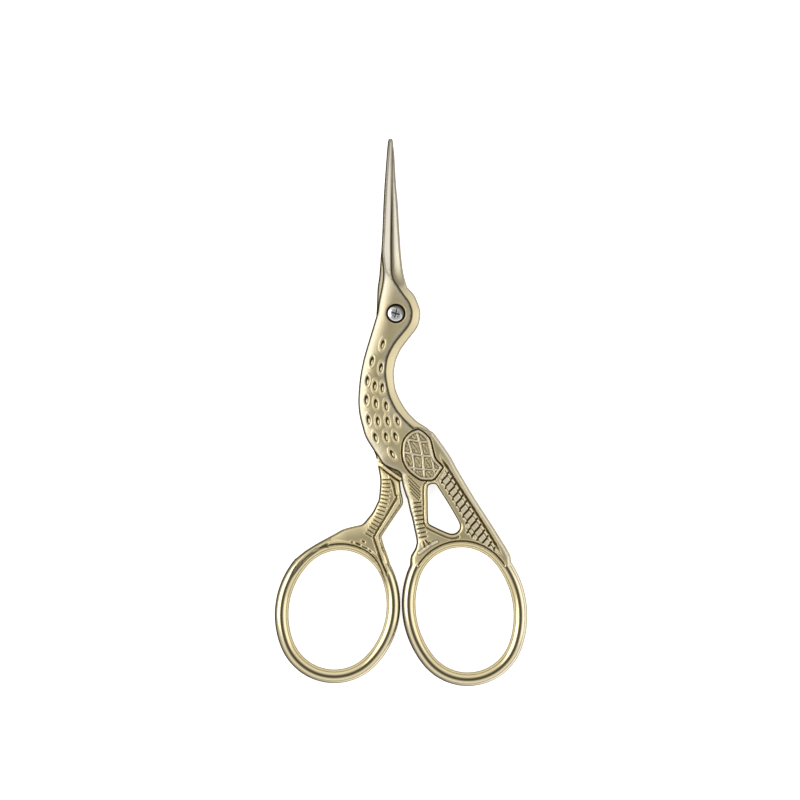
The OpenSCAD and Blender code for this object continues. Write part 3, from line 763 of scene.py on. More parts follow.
# %% The back leg's engraving
BELLY_STEP = [(-4.6, -31.9), (-3.5, -32.3), (-2.2, -33.3), (-1.5, -33.8), (-0.4, -34.6), (0.95, -35.45),
              (2.5, -36)]
BELLY_STEP_LINE = smooth(BELLY_STEP[:-1])
BACK_LADDER = smooth([(-1.95, -34.9), (-1.95, -37), (-2.5, -39.8), (-3.5, -42.8), (-4.6, -44.8),
                      (-5.7, -46.5)], 0.85)
BACK_TOES = [[(-9.3, -48), (-9.1, -48.05)], [(-8.3, -48.2), (-7.5, -48.6)], [(-7, -48.9), (-6, -49.4)],
             [(-7, -47.8), (-6.6, -47.95)], [(-5.6, -49.7), (-5.2, -50)]]
BACK_BEAD_LINE = smooth([(-1.4, -34.1), (-0.5, -36), (-0.1, -38.1), (-0.1, -39.2), (-4.25, -46.2),
                         (-4.55, -47.2), (-4.15, -48.6), (-3.4, -50.9), (-2.75, -52.7), (-2.1, -54.2),
                         (-1.6, -55.4)])


def beside(line, d):
    """The line moved to its left by this distance."""
    way = np.gradient(line, axis=0)
    return line + d * np.c_[-way[:, 1], way[:, 0]] / np.linalg.norm(way, axis=1)[:, None]


def foot_line():
    """Where the back foot meets its ring: along the crest at the leg, nearer the hole towards the left."""
    line = BACK_RING.arc(1.38, (-1.1, -58.6), (-22, -56.4))
    inward = (BACK_RING.at - line) / np.linalg.norm(BACK_RING.at - line, axis=1)[:, None]
    return line + 0.95 * inward * (1 - ease(np.arange(len(line)), 8, 44))[:, None]


def back_engraving(surface):
    ladder(surface, BACK_LADDER, half=0.21, depth=0.24)
    for toe in BACK_TOES:
        surface.groove(toe, half=0.3, depth=0.26)
    surface.groove(BACK_BEAD_LINE, half=0.4, depth=0.38, taper=5)
    # A painted shade line over the end of the bead's groove.
    surface.paint_shade_line(nearest(surface.points, BACK_BEAD_LINE[-8:])[0], 0.32, 0.8)
    inner_side = beside(np.vstack(back_lines[6:8]), 0.5)[14:-6]
    surface.groove(inner_side, half=0.22, depth=0.16, taper=8)
    surface.groove(foot_line(), half=0.32, depth=0.34, taper=20)


print(len(BACK_LADDER), "rungs,", len(BACK_TOES), "toes")

# %% [markdown]
# The back blade is hollow ground on the side that meets the other, and the neck's rim falls off towards
# its outer edge, which is what makes it shine. Both are slopes taken off the plate.

# %% The back half's plate
BACK_LEG_END = -57
FIELD_DROP, HOLLOW_SLOPE, RIM_SLOPE, BREAST_SLOPE = 0.16, 0.28, 0.4, 0.15
NECK_RIM = back_lines[-3]
BACK_THICK = closed([smooth([(-30, -60), (0, -60), (2.6, -50), (3, -36.8), (0.9, -35.4)], 1),
                     smooth([(0.9, -35.4), (-0.4, -34.6), (-1.5, -33.8), (-2.2, -33.3), (-3.5, -32.3),
                             (-4.6, -31.9)], 0.2),
                     smooth([(-4.6, -31.9), (-12, -40), (-30, -60)], 1)])


def left_of_bead(points):
    _, place = nearest(points, BACK_BEAD_LINE)
    i = np.clip(place.astype(int), 0, len(BACK_BEAD_LINE) - 2)
    d = BACK_BEAD_LINE[i + 1] - BACK_BEAD_LINE[i]
    q = points - BACK_BEAD_LINE[i]
    return d[:, 0] * q[:, 1] - d[:, 1] * q[:, 0] < 0


def back_plate(points, far, width, drop, leg, out):
    y = points[:, 1]
    plate = np.where(leg, TOP, PLATE) - fall(far, width, drop)
    step, _ = nearest(points, smooth(BELLY_STEP))
    plate -= np.where(leg & (y > -37.5), fall(step, 0.55, 0.5), 0)
    field = ease(nearest(points, BACK_BEAD_LINE)[0], 0.0, 0.3) * left_of_bead(points) * leg
    plate -= field * FIELD_DROP
    level = 0.07 * (1 - ease(out, CREST, 3.5)) + crown(far, 3, 0.34) * leg + END_DROP * ease(-y, 52.5, 56)
    plate = np.where((y > BACK_LEG_END) & (out > CREST), plate - level, MIDDLE)
    hollow = np.minimum(HOLLOW_SLOPE * np.maximum(nearest(points, BACK_SPINE)[0] - 0.32, 0), 0.3 * plate)
    plate -= hollow * ease(y, 5, 11)
    slope = RIM_SLOPE * np.clip(1.8 - nearest(points, NECK_RIM)[0], 0, 1.5)
    plate -= np.where(leg, 0, slope * ease(y, -25, -22) * (1 - ease(y, 4, 7)))
    breast = np.clip(0.9 - nearest(points, back_lines[1])[0], 0, 1)
    return plate - BREAST_SLOPE * breast * ease(y, -6, -2)


print("the ladder's field lies", FIELD_DROP, "mm below the bead beside it")

# %% [markdown]
# Where the leg steps up, a sloping ledge catches the light right beside the belly, with a painted shadow line
# under it. Painted shade on the mating face, where the front half's edge lies when the scissors are shut,
# stands for that edge's shadow and makes the shear line crisp. The rear face copies the front on the leg and
# the ring, and has its own marks on the neck.

# %% The back half's two faces
REAR_FEATHERS = [(x + 0.9, y, lean) for x, y, lean in FEATHERS]


def belly_ledge(surface, leg):
    x = surface.points[:, 0]
    above = nearest(surface.points, BELLY_STEP_LINE)[0] + FAR_OFF * leg + FAR_OFF * (x > 1.2)
    ledge = ease(above, 0.12, 0.22) * (1 - ease(above, 0.92, 1.1)) * ease(x, -3.9, -2.6)
    surface.z += (0.75 + 0.58 * above) * ledge
    # Painted shadow line at the foot of the ledge, with other painted shade cleared beside it.
    surface.cut = np.where(above < 1.5, 0, surface.cut)
    surface.darken(dip(abs(above - 0.05), 0.25))


def back_top(points):
    y = points[:, 1]
    surface = Surface(points)
    far, (width, drop), rim = edge_values(points, back_line, back_edge)
    leg = inside(points, BACK_THICK)
    out = BACK_RING.out(points)
    surface.z = bar_or_plate(back_plate(points, far, width, drop, leg, out), out)
    # Pale wear and painted highlight along the edges, except on the leg.
    surface.wear_and_highlight = 0.3 * (1 - ease(far, 0.3, 1.3)) * (1 - ease(-y, 27, 31) * (1 - ease(-y, 51, 55)))
    paint_rim_shade(surface, far, np.where(y > 5, np.maximum(rim, 0.42), rim), out)
    belly_ledge(surface, leg)
    # Painted shadow of the front half's edge on the mating face.
    front_edge_shadow_line = nearest(points, FRONT_CUT)[0] + FAR_OFF * leg
    surface.paint_shade_line(front_edge_shadow_line, 0.28, 0.75 - 0.35 * ease(y, 18, 32))
    back_engraving(surface)
    return surface


def back_low(points):
    y = points[:, 1]
    surface = Surface(points)
    far, (width, drop), _ = edge_values(points, back_line, back_edge)
    surface.z = -fall(far, np.maximum(width, 0.4), np.maximum(drop, 0.4))
    feather_marks(surface, REAR_FEATHERS)
    blade = PLATE - blade_height(points, BACK_SPINE, BACK_CUT)
    surface.z = np.where(y > 2, np.maximum(-surface.z, blade), -surface.z)
    leg = inside(points, BACK_THICK) | (y < -46)
    front = back_top(points)
    surface.z = np.maximum(np.where(leg, TOP - front.z, surface.z), 0)
    surface.cut = np.where(leg, front.cut, surface.cut)
    surface.wear_and_highlight = np.where(leg, front.wear_and_highlight, 0)
    return surface


shin = back_top(np.array([(-2.0, -41.0)])).z[0]
print("the back half's leg is", round(float(shin), 2), "mm high at its bead")

# %% [markdown]
# ## From heights to a mesh
# The plane is filled with points: rows that follow every outline, so that round edges stay round, and a
# fine even grid where there is engraving. A plain grid with a displacement would be simpler to make, but
# its outlines would be jagged.

# %% Points on the plane
COARSE = 0.5
ROW_TURNS = (22, 42, 60, 76, 90)
ROW_CELLS = 100000


def rows_inside(line, edge):
    """Rows of points inside an outline, close together where the edge turns over."""
    d = np.roll(line, -1, axis=0) - np.roll(line, 1, axis=0)
    normal = np.c_[-d[:, 1], d[:, 0]] / np.linalg.norm(d, axis=1)[:, None]
    rows = []
    for turn in ROW_TURNS:
        depth = edge[:, :1] * (1 - math.cos(math.radians(turn)))
        row = line + normal * depth
        far, _ = nearest(row, line, loop=True)
        rows.append(row[far > 0.93 * depth[:, 0]])
    return rows


def grid(x0, y0, x1, y1, step):
    """A grid of even triangles."""
    xs, ys = np.arange(x0, x1, step), np.arange(y0, y1, step * 0.866)
    gx, gy = np.meshgrid(xs, ys)
    gx = gx + (np.arange(len(ys)) % 2)[:, None] * step / 2
    return np.c_[gx.ravel(), gy.ravel()]


def thin_out(kept, extra, room):
    """Those of the extra points that have no kept one in their own small cell or next to it."""
    cell = np.floor((np.vstack([kept, extra]) + 200) / (room * 0.72)).astype(np.int64)
    key = cell[:, 0] * ROW_CELLS + cell[:, 1]
    around = np.array([i * ROW_CELLS + j for i in (-1, 0, 1) for j in (-1, 0, 1)])
    taken = np.unique((key[:len(kept), None] + around).ravel())
    return extra[~np.isin(key[len(kept):], taken)]


def on_piece(points, loops):
    """True for each point inside the outline and outside every hole."""
    keep = inside(points, loops[0])
    for hole in loops[1:]:
        keep &= ~inside(points, hole)
    return keep


def fill(line, edge, holes, fine, creases):
    """The piece's loops, all points of its plane mesh, and the edges that its creases need."""
    loops = [line] + [hole for hole, _ in holes]
    rows = rows_inside(line, edge)
    for hole, hole_edge in holes:
        rows += rows_inside(hole[::-1], hole_edge[::-1])
    kept = np.vstack(loops + rows + creases)
    for *box, step in fine + [(*line.min(0), *line.max(0), COARSE)]:
        points = grid(*box, step)
        kept = np.vstack([kept, thin_out(kept, points[on_piece(points, loops)], step * 0.62)])
    start = len(np.vstack(loops + rows))
    edges = []
    for crease in creases:
        edges += [(start + k, start + k + 1) for k in range(len(crease) - 1)]
        start += len(crease)
    return loops, kept, edges


print("rows at", [round(1 - math.cos(math.radians(t)), 2) for t in ROW_TURNS], "of a rounded edge's width")

# %% [markdown]
# A constrained Delaunay triangulation joins the points and keeps every outline and crease as edges. The
# same triangles, at two heights, are the front and the rear of the piece, and a wall joins them all round.
# Where the two heights meet, as at a cutting edge, their points are welded instead.

# %% Closed skin
WELD = 0.004


def triangles(loops, kept, edges):
    count = 0
    for loop in loops:
        edges = edges + [(count + k, count + (k + 1) % len(loop)) for k in range(len(loop))]
        count += len(loop)
    out = delaunay_2d_cdt([Vector(p) for p in kept], edges, [], 0, 1e-7)
    flat = np.array([v[:] for v in out[0]])
    tris = np.array([f for f in out[2] if len(f) == 3])
    return flat, tris[on_piece(flat[tris].mean(1), loops)]


def open_edges(tris):
    """The edges that only one triangle has, in its own direction."""
    seen = {}
    for a, b, c in tris:
        for edge in ((a, b), (b, c), (c, a)):
            key = (min(edge), max(edge))
            seen[key] = None if key in seen else edge
    return [edge for edge in seen.values() if edge]


def skin(flat, tris, high, low):
    """Points and faces of the closed piece."""
    thin = high - low < WELD
    high = np.where(thin, (high + low) / 2, high)
    n = len(flat)
    wall = open_edges(tris)
    on_wall = np.zeros(n, bool)
    on_wall[[v for edge in wall for v in edge]] = True
    welded = thin & on_wall
    bottom = np.where(welded, np.arange(n), np.arange(n) + n)
    verts = np.vstack([np.c_[flat, high], np.c_[flat, low]]) * MM
    faces = [tuple(t) for t in tris] + [tuple(bottom[t[::-1]]) for t in tris]
    for a, b in wall:
        quad = [b, a, bottom[a], bottom[b]]
        quad = [v for k, v in enumerate(quad) if v not in quad[:k]]
        if len(quad) > 2:
            faces.append(tuple(quad))
    return verts, faces


def relief(name, line, edge, holes, fine, creases, top, low):
    """A piece with this outline and these holes, whose two faces are at the heights that top and low give."""
    loops, kept, edges = fill(line, edge, holes, fine, creases)
    flat, tris = triangles(loops, kept, edges)
    upper, lower = top(flat), low(flat)
    verts, faces = skin(flat, tris, upper.z, lower.z)
    mesh = bpy.data.meshes.new(name)
    mesh.from_pydata([tuple(v) for v in verts], [], [tuple(int(i) for i in f) for f in faces])
    for tone, values in (("cut", (upper.cut, lower.cut)), ("wear_and_highlight", (upper.wear_and_highlight, lower.wear_and_highlight))):
        attribute = mesh.attributes.new(tone, "FLOAT", "POINT")
        attribute.data.foreach_set("value", np.concatenate(values).astype(np.float32))
    bm = bmesh.new()
    bm.from_mesh(mesh)
    bmesh.ops.delete(bm, geom=[v for v in bm.verts if not v.link_faces], context="VERTS")
    bm.to_mesh(mesh)
    bm.free()
    mesh.shade_smooth()
    piece = bpy.data.objects.new(name, mesh)
    bpy.context.scene.collection.objects.link(piece)
    print(name, len(mesh.vertices), "points,", len(mesh.polygons), "faces")
    return piece


print("two triangles that share a side have", len(open_edges([(0, 1, 2), (0, 2, 3)])), "open edges")

# %% [markdown]
# ## Both halves
# A piece is made from its outline, its holes with the width of their rounded edges, the boxes that need a
# finer grid, and the creases where the height jumps. The front half has a round seat for the screw's head,
# and a bore that turns on the screw's shoulder. The back half has a narrower hole for its threaded end.

# %% The front half
SEAT, SEAT_DEPTH, SEAT_RIM = 2.02, 0.5, 0.15
BORE, THREAD = 1.33, 1.0


def circle(radius, count):
    a = np.linspace(0, math.tau, count, endpoint=False)
    return np.c_[np.cos(a), np.sin(a)] * radius


def rounded(line, width):
    """A closed line, and the same rounded edge at each of its points."""
    return line, np.full((len(line), 2), width)


def front_heights(points):
    surface = front_top(points)
    r = np.hypot(points[:, 0], points[:, 1])
    surface.z -= 0.06 * (1 - ease(r, SEAT, SEAT + SEAT_RIM))
    surface.z[r < SEAT - 0.001] = TOP - SEAT_DEPTH
    # The seat under the head is painted dark as shade.
    surface.cut[r < SEAT + 0.02] = 1
    return surface


# Each box is its lowest and highest corner and the grid's step: the neck, the wing with the leg and the
# tail, the head, and the blade.
front_half = relief(
    "front_relief", front_line, front_edge,
    [rounded(FRONT_RING.line(0), 1.1), rounded(OPENWORK, 0.5), rounded(circle(BORE, 48), 0.1)],
    [(-9, -34, 4.5, -5.5, 0.14), (0, -53, 23.5, -23, 0.13), (-5, -5.5, 5, 12, 0.25), (-3.4, 12, 0, 37, 0.16)],
    [circle(SEAT, 64), circle(SEAT - 0.02, 64), circle(SEAT + SEAT_RIM, 64),
     beside(front_lines[0], BEVEL)[30:]],
    front_heights, front_low)

# %% [markdown]
# The back half's creases are the belly's step, drawn as four lines close together, and the shear line.

# %% The back half
step = smooth(BELLY_STEP[1:-1], 0.2)
back_half = relief(
    "back_relief", back_line, back_edge,
    [rounded(BACK_RING.line(0), 1.1), rounded(circle(THREAD, 40), 0.1)],
    [(-5, -36, 1.6, -29, 0.12), (-8, -34, 8, -5, 0.2), (-14, -55, 2, -32, 0.13), (-4.5, -5, 5.5, 37, 0.2)],
    [step + (0, 0.02), step - (0, 0.03), beside(step, 0.16), beside(step, 0.28)]
    + [beside(FRONT_CUT, d)[8:] for d in (-0.1, -0.28)],
    back_top, back_low)

# %% [markdown]
# ## The pivot screw
# A turned steel screw with a low domed head and a cross recess. It sits in its seat with a little room all
# round, and the seat is painted dark as shade, a dark ring round the head. The head is one more relief, with
# the recess pressed into the same points, so that it stays one smooth skin. Painted shade darkens the recess
# and the head's rim, most towards the upper right.

# %% The screw's head
HEAD_R, HEAD_Z, HEAD_EDGE, HEAD_THICK = 1.78, TOP + 0.02, 0.28, 0.5
CROSS_TURN, CROSS_DEPTH = -15, 0.3


def screw_top(points):
    surface = Surface(points)
    r = np.hypot(points[:, 0], points[:, 1])
    surface.z = HEAD_Z - 0.36 * (r / HEAD_R) ** 2 - fall(HEAD_R - r, HEAD_EDGE, 0.2)
    for turn in (CROSS_TURN, CROSS_TURN + 90):
        a = math.radians(turn)
        u = points[:, 0] * math.cos(a) + points[:, 1] * math.sin(a)
        v = abs(points[:, 1] * math.cos(a) - points[:, 0] * math.sin(a))
        arm = (1 - ease(v, 0.17, 0.25)) * (1 - ease(abs(u), 0.9, 1.05))
        surface.z = np.minimum(surface.z, HEAD_Z - 0.02 - CROSS_DEPTH * arm)
        # Painted shade in the cross recess.
        surface.darken(0.7 * ease(arm, 0.25, 0.75))
    # Painted shade round the head's rim, widest towards the upper right.
    shaded_side = np.clip(points.sum(1) / np.maximum(r, 0.1), 0, 1)
    surface.paint_shade_line(HEAD_R - r, 0.15 + 0.75 * shaded_side, 1.0)
    return surface


def screw_low(points):
    surface = Surface(points)
    surface.z += HEAD_Z - HEAD_THICK
    return surface


head_rim, head_edge = rounded(circle(HEAD_R, 72), HEAD_EDGE)
screw = relief("screw_head", head_rim, head_edge, [], [(-2, -2, 2, 2, 0.07)], [], screw_top, screw_low)

# %% [markdown]
# Under the head stand the shoulder, on which the front half turns, and the threaded end. Both are turned
# from one profile. They belong to the same piece, and nobody sees them until the scissors are taken apart.

# %% The screw's shank
SHANK_STEPS = 48
profile = [(THREAD, 0.0), (THREAD, PLATE), (1.3, PLATE), (1.3, HEAD_Z - HEAD_THICK)]
shank = bmesh.new()
shank.from_mesh(screw.data)
loops = []
for r, z in profile:
    rim = circle(r, SHANK_STEPS)
    loops.append([shank.verts.new((x * MM, y * MM, z * MM)) for x, y in rim])
shank.faces.new(loops[0][::-1])
for low, high in zip(loops, loops[1:]):
    for k in range(SHANK_STEPS):
        after = (k + 1) % SHANK_STEPS
        shank.faces.new((low[k], low[after], high[after], high[k]))
shank.to_mesh(screw.data)
shank.free()
screw.data.shade_smooth()
print("screw head", round(2 * HEAD_R, 2), "mm across, shoulder", 2 * 1.3, "mm")

# %% [markdown]
# ## Finishes
# Colours are written as sRGB hex values, as on a finisher's card, and one function turns them into
# Blender's linear ones. One more function adds a shader node with its settings and its links.

# %% Colour and nodes
def srgb(hex_colour):
    parts = [int(hex_colour[i:i + 2], 16) / 255 for i in (1, 3, 5)]
    return tuple(p / 12.92 if p <= 0.04045 else ((p + 0.055) / 1.055) ** 2.4 for p in parts) + (1,)


def add(tree, kind, settings={}, **links):
    """Adds a node, sets its properties and values, and links inputs given by name, or as i and number."""
    node = tree.nodes.new(kind)
    for key, value in settings.items():
        if isinstance(key, str) and hasattr(node, key):
            setattr(node, key, value)
        else:
            node.inputs[key].default_value = value
    for key, socket in links.items():
        name = key.replace("_", " ")
        tree.links.new(socket, node.inputs[int(name[1:]) if name[0] == "i" and name[1:].isdigit() else name])
    return node


def metal(name):
    """A material with one metallic shader."""
    material = bpy.data.materials.new(name)
    material.use_nodes = True
    tree = material.node_tree
    tree.nodes.clear()
    out = tree.nodes.new("ShaderNodeOutputMaterial")
    shader = tree.nodes.new("ShaderNodeBsdfPrincipled")
    tree.links.new(shader.outputs[0], out.inputs["Surface"])
    shader.inputs["Metallic"].default_value = 1
    return material, tree, shader


print("gold in linear light:", [round(c, 3) for c in srgb("#e6d5a2")[:3]])

# %% [markdown]
# The halves are stainless steel castings with a thin pale gold plating. Plating follows the steel below
# it: where that was blasted, the gold is satin and scatters the light, and where it was buffed, as on the
# rings and the rounded edges, it mirrors. The blades were ground after, so that the steel's grey shows
# through towards the tips. The satin grain is really about 0.05 mm, and is drawn at 0.25 mm to show.
#
# The colour is mixed in steps: gold, the ground blades' grey over it, the pale places of wear and painted
# highlight, and painted shade in every cut and along the edges. The walls between the two faces get painted
# shade too, and like the cuts a duller finish.

# %% Plated steel
GOLD, PALE_GOLD, GROUND_STEEL, WORN_AND_HIGHLIGHT = "#e6d5a2", "#efe2bb", "#dcd5c1", "#f0e9dc"
PAINTED_SHADE_COLOUR, SHADED_REFLECTION_TINT = "#3f3519", "#3a3220"
CLOUD_SCALE, GRAIN_SCALE = 160.0, 4000.0
COLOURS, NUMBERS = {"data_type": "RGBA"}, {"data_type": "FLOAT"}


def plated_colour(tree, place, cloud):
    axes = add(tree, "ShaderNodeSeparateXYZ", Vector=place)
    ground = add(tree, "ShaderNodeMapRange", {"From Min": 0.002, "From Max": 0.014}, Value=axes.outputs["Y"])
    gold = add(tree, "ShaderNodeMix", {**COLOURS, 6: srgb(GOLD), 7: srgb(PALE_GOLD)}, i0=cloud.outputs["Fac"])
    blades = add(tree, "ShaderNodeMix", {**COLOURS, 7: srgb(GROUND_STEEL)}, i0=ground.outputs[0],
                 i6=gold.outputs[2])
    # Pale places: partly wear, partly painted highlight.
    wear_and_highlight = add(tree, "ShaderNodeAttribute", {"attribute_name": "wear_and_highlight"})
    worn_and_highlight = add(tree, "ShaderNodeMix", {**COLOURS, 7: srgb(WORN_AND_HIGHLIGHT)}, i0=wear_and_highlight.outputs["Fac"],
                 i6=blades.outputs[2])
    return worn_and_highlight.outputs[2]


def painted_shade_on_cuts_and_walls(tree):
    """Painted shade: from 0 on open faces to 1 in the darkest grooves, and 0.2 on the walls."""
    cut = add(tree, "ShaderNodeAttribute", {"attribute_name": "cut"})
    facing = add(tree, "ShaderNodeSeparateXYZ", Vector=add(tree, "ShaderNodeNewGeometry").outputs["Normal"])
    flat = add(tree, "ShaderNodeMath", {"operation": "ABSOLUTE"}, i0=facing.outputs["Z"])
    # The walls get painted shade too.
    wall = add(tree, "ShaderNodeMapRange",
               {"From Min": 0.3, "From Max": 0.62, "To Min": 0.2, "To Max": 0.0}, Value=flat.outputs[0])
    painted_shade_amount = add(tree, "ShaderNodeMath", {"operation": "MAXIMUM"}, i0=cut.outputs["Fac"], i1=wall.outputs[0])
    return painted_shade_amount.outputs[0]


def plated_steel(name, roughness, grain):
    material, tree, shader = metal(name)
    place = add(tree, "ShaderNodeTexCoord").outputs["Object"]
    cloud = add(tree, "ShaderNodeTexNoise", {"Scale": CLOUD_SCALE, "Detail": 3.0}, Vector=place)
    colour, painted_shade_amount = plated_colour(tree, place, cloud), painted_shade_on_cuts_and_walls(tree)
    # Painted shade darkens the base colour.
    shade = add(tree, "ShaderNodeMix", {**COLOURS, 7: srgb(PAINTED_SHADE_COLOUR)}, i0=painted_shade_amount, i6=colour)
    tree.links.new(shade.outputs[2], shader.inputs["Base Color"])
    # Painted shade in the reflections: a darker specular tint wherever shade is painted.
    rim = add(tree, "ShaderNodeMix", {**COLOURS, 6: (1, 1, 1, 1), 7: srgb(SHADED_REFLECTION_TINT)}, i0=painted_shade_amount)
    tree.links.new(rim.outputs[2], shader.inputs["Specular Tint"])
    spread = {"To Min": roughness * 0.85, "To Max": roughness * 1.2}
    rough = add(tree, "ShaderNodeMapRange", spread, Value=cloud.outputs["Fac"])
    dull = add(tree, "ShaderNodeMix", {**NUMBERS, 3: 0.65}, i0=painted_shade_amount, i2=rough.outputs[0])
    tree.links.new(dull.outputs[0], shader.inputs["Roughness"])
    fine = add(tree, "ShaderNodeTexNoise", {"Scale": GRAIN_SCALE, "Detail": 2.0}, Vector=place)
    bump = add(tree, "ShaderNodeBump", {"Strength": grain, "Distance": 0.04 * MM}, Height=fine.outputs["Fac"])
    tree.links.new(bump.outputs[0], shader.inputs["Normal"])
    return material


satin_gold = plated_steel("satin_gold_plated_steel", 0.4, 0.5)
bright_gold = plated_steel("polished_gold_plated_steel", 0.14, 0.06)
print("finishes:", satin_gold.name, "and", bright_gold.name)

# %% [markdown]
# The screw is plain turned steel, greyer than the plating. Its head keeps very fine rings from the lathe,
# about 0.2 mm apart here so that they show, and painted shade darkens its recess, its rim and the gap
# round it.

# %% Turned steel
STEEL, SCREW_PAINTED_SHADE = "#eceded", "#6a6864"
LATHE_SCALE = 1400.0
turned_steel, tree, shader = metal("turned_stainless_steel")
# Painted shade from the mesh darkens the recess and the rim.
cut = add(tree, "ShaderNodeAttribute", {"attribute_name": "cut"})
tint = add(tree, "ShaderNodeMix", {**COLOURS, 6: srgb(STEEL), 7: srgb(SCREW_PAINTED_SHADE)}, i0=cut.outputs["Fac"])
tree.links.new(tint.outputs[2], shader.inputs["Base Color"])
rings = add(tree, "ShaderNodeTexWave",
            {"wave_type": "RINGS", "rings_direction": "Z", "Scale": LATHE_SCALE, "Distortion": 0.4},
            Vector=add(tree, "ShaderNodeTexCoord").outputs["Object"])
spread = add(tree, "ShaderNodeMapRange", {"To Min": 0.1, "To Max": 0.2}, Value=rings.outputs["Fac"])
tree.links.new(spread.outputs[0], shader.inputs["Roughness"])
turning = add(tree, "ShaderNodeBump", {"Strength": 0.15, "Distance": 0.01 * MM}, Height=rings.outputs["Fac"])
tree.links.new(turning.outputs[0], shader.inputs["Normal"])
print("screw:", turned_steel.name)

# %% [markdown]
# Which face is satin and which is bright follows from how the piece was worked: the flat front and rear
# of the neck, the body, the legs and the tail are satin, and everything that turns over, and the rings,
# is bright.

# %% Faces get their finish
FOOT_Y, LEGS_MIDDLE, LEGS_HALF = -53, -42, 14


def dress(piece, ring, outline):
    mesh = piece.data
    mesh.materials.append(satin_gold)
    mesh.materials.append(bright_gold)
    centres, normals = np.zeros((2, len(mesh.polygons) * 3))
    mesh.polygons.foreach_get("center", centres)
    mesh.polygons.foreach_get("normal", normals)
    p = centres.reshape(-1, 3) / MM
    up = abs(normals.reshape(-1, 3)[:, 2])
    far, _ = nearest(p[:, :2], outline, loop=True)
    inner_bar = ring.out(p[:, :2]) < 1.7
    turned_over = (abs(p[:, 1] - LEGS_MIDDLE) < LEGS_HALF) & (up < 0.9)
    bright = inner_bar | (p[:, 1] < FOOT_Y) | (far < 0.35) | turned_over
    mesh.polygons.foreach_set("material_index", bright.astype(np.int32))
    mesh.update()
    print(piece.name, int(bright.sum()), "of", len(bright), "faces are polished")


dress(front_half, FRONT_RING, front_line)
dress(back_half, BACK_RING, back_line)
screw.data.materials.append(turned_steel)

# %% [markdown]
# Each piece now takes its seat: it moves with a body of the frame, and stands for one CAD node, which is
# hidden. The screw is fixed in the back half, so it rides on that body.

# %% Seats in the frame
for piece, node, body in ((front_half, "front_half", "front"), (back_half, "back_half", "back"),
                          (screw, "pivot_screw", "back")):
    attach(piece, body)
    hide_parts(node)
    print(piece.name, "stands for", node, "and moves with", body)

# %% [markdown]
# ## Table, light and camera
# The scissors lie on a white table, and the table keeps their soft shadow. It glows a little, but only
# where the camera or a reflection sees it, so that it is white there and lights nothing of itself.

# %% White table
def table_finish():
    material = bpy.data.materials.new("white_table")
    material.use_nodes = True
    tree = material.node_tree
    tree.nodes.clear()
    out = tree.nodes.new("ShaderNodeOutputMaterial")
    white = add(tree, "ShaderNodeBsdfDiffuse", {"Color": (0.9, 0.9, 0.9, 1)})
    path = add(tree, "ShaderNodeLightPath")
    seen = add(tree, "ShaderNodeMath", {"operation": "MAXIMUM"},
               i0=path.outputs["Is Camera Ray"], i1=path.outputs["Is Glossy Ray"])
    lift = add(tree, "ShaderNodeMath", {"operation": "MULTIPLY", 1: 0.72}, i0=seen.outputs[0])
    glow = add(tree, "ShaderNodeEmission", {"Color": (1, 1, 1, 1)}, Strength=lift.outputs[0])
    both = add(tree, "ShaderNodeAddShader", {}, i0=white.outputs[0], i1=glow.outputs[0])
    tree.links.new(both.outputs[0], out.inputs["Surface"])
    return material


bpy.ops.mesh.primitive_plane_add(size=3, location=(0, 0, 0))
floor = bpy.context.object
floor.name = "table"
floor.data.materials.append(table_finish())
print("table", round(floor.dimensions.x, 1), "m wide")

# %% [markdown]
# Metal shows only what is round it. A large soft box stands at the left and a weak one at the right, which
# makes every round edge bright on its left and leaves its right side darker. Lamps stand far from the
# scissors, so their places and sizes are in metres.

# %% Soft boxes
AIM = Vector((0, -0.02, 0))


def soft_box(name, place, size, power):
    light = bpy.data.lights.new(name, "AREA")
    light.shape = "RECTANGLE"
    light.size, light.size_y = size
    light.energy = power
    lamp = bpy.data.objects.new(name, light)
    bpy.context.scene.collection.objects.link(lamp)
    lamp.location = place
    lamp.rotation_euler = (AIM - Vector(place)).to_track_quat("-Z", "Y").to_euler()
    print(name, power, "W")


soft_box("left_box", (-0.55, 0.05, 0.45), (0.5, 0.7), 1.5)
soft_box("right_box", (0.55, -0.05, 0.4), (0.4, 0.6), 0.35)

# %% [markdown]
# The room above is a dome of grey that depends on height alone: dim at the table's level, brightest in a
# wide band half way up, and dark overhead, as above a photographer's light tent with an open top. A face
# that lies flat mirrors that dark top, which is what draws the dark line along the crest of each ring.
# The camera itself sees white instead of the dome.

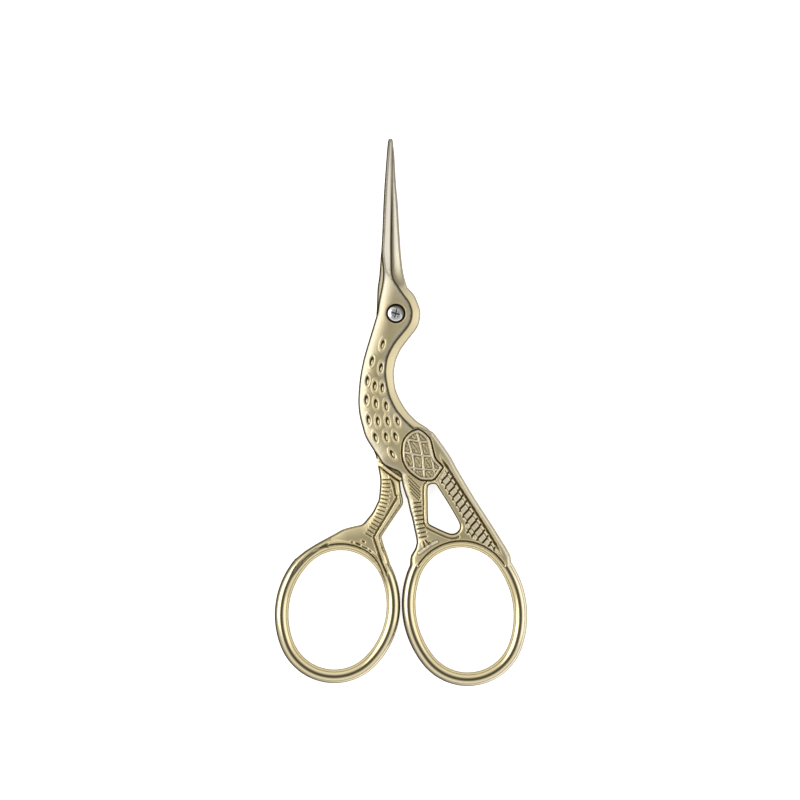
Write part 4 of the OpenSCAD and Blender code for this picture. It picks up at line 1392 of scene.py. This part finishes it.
# %% Dome
DOME = [(0.0, 0.25), (0.2, 0.45), (0.42, 0.9), (0.76, 0.9), (0.91, 0.42), (0.975, 0.1), (1.0, 0.08)]
world = bpy.data.worlds.new("studio")
bpy.context.scene.world = world
world.use_nodes = True
tree = world.node_tree
tree.nodes.clear()
out = tree.nodes.new("ShaderNodeOutputWorld")
way = add(tree, "ShaderNodeSeparateXYZ", Vector=add(tree, "ShaderNodeTexCoord").outputs["Generated"])
sky = add(tree, "ShaderNodeValToRGB", Fac=way.outputs["Z"])
ramp = sky.color_ramp
while len(ramp.elements) < len(DOME):
    ramp.elements.new(0.5)
for mark, (height, grey) in zip(ramp.elements, DOME):
    mark.position = height
    mark.color = (grey, grey, grey, 1)
path = add(tree, "ShaderNodeLightPath")
grey = add(tree, "ShaderNodeRGBToBW", Color=sky.outputs[0])
level = add(tree, "ShaderNodeMix", {**NUMBERS, 3: 1.0}, i0=path.outputs["Is Camera Ray"], i2=grey.outputs[0])
shine = add(tree, "ShaderNodeBackground", {"Color": (1, 1, 1, 1)}, Strength=level.outputs[0])
tree.links.new(shine.outputs[0], out.inputs["Surface"])
print("dome brightest from", DOME[2][0], "to", DOME[3][0], "of its height")

# %% [markdown]
# The photograph looks straight down. One of its pixels is 0.21 mm on the scissors, and the pivot is at
# pixel 395.8, 313.5 of its 800 by 800, which gives the frame's width and the camera's place. It stands
# 600 mm away, and its lens frames the plane 2.5 mm above the table.

# %% Camera
PIXEL, PIVOT_X, PIVOT_Y, PICTURE = 0.21, 395.8, 313.5, 800
DISTANCE, SHARP_PLANE, SENSOR = 600, 2.5, 36
lens = bpy.data.cameras.new("camera")
lens.sensor_width = SENSOR
lens.lens = SENSOR * (DISTANCE - SHARP_PLANE) / (PICTURE * PIXEL)
camera = bpy.data.objects.new("camera", lens)
bpy.context.scene.collection.objects.link(camera)
middle = PICTURE / 2
camera.location = ((middle - PIVOT_X) * PIXEL * MM, (PIVOT_Y - middle) * PIXEL * MM, DISTANCE * MM)
bpy.context.scene.camera = camera
bpy.context.scene.view_settings.view_transform = "Standard"
print("frame", round(PICTURE * PIXEL), "mm wide, lens", round(lens.lens, 1), "mm")
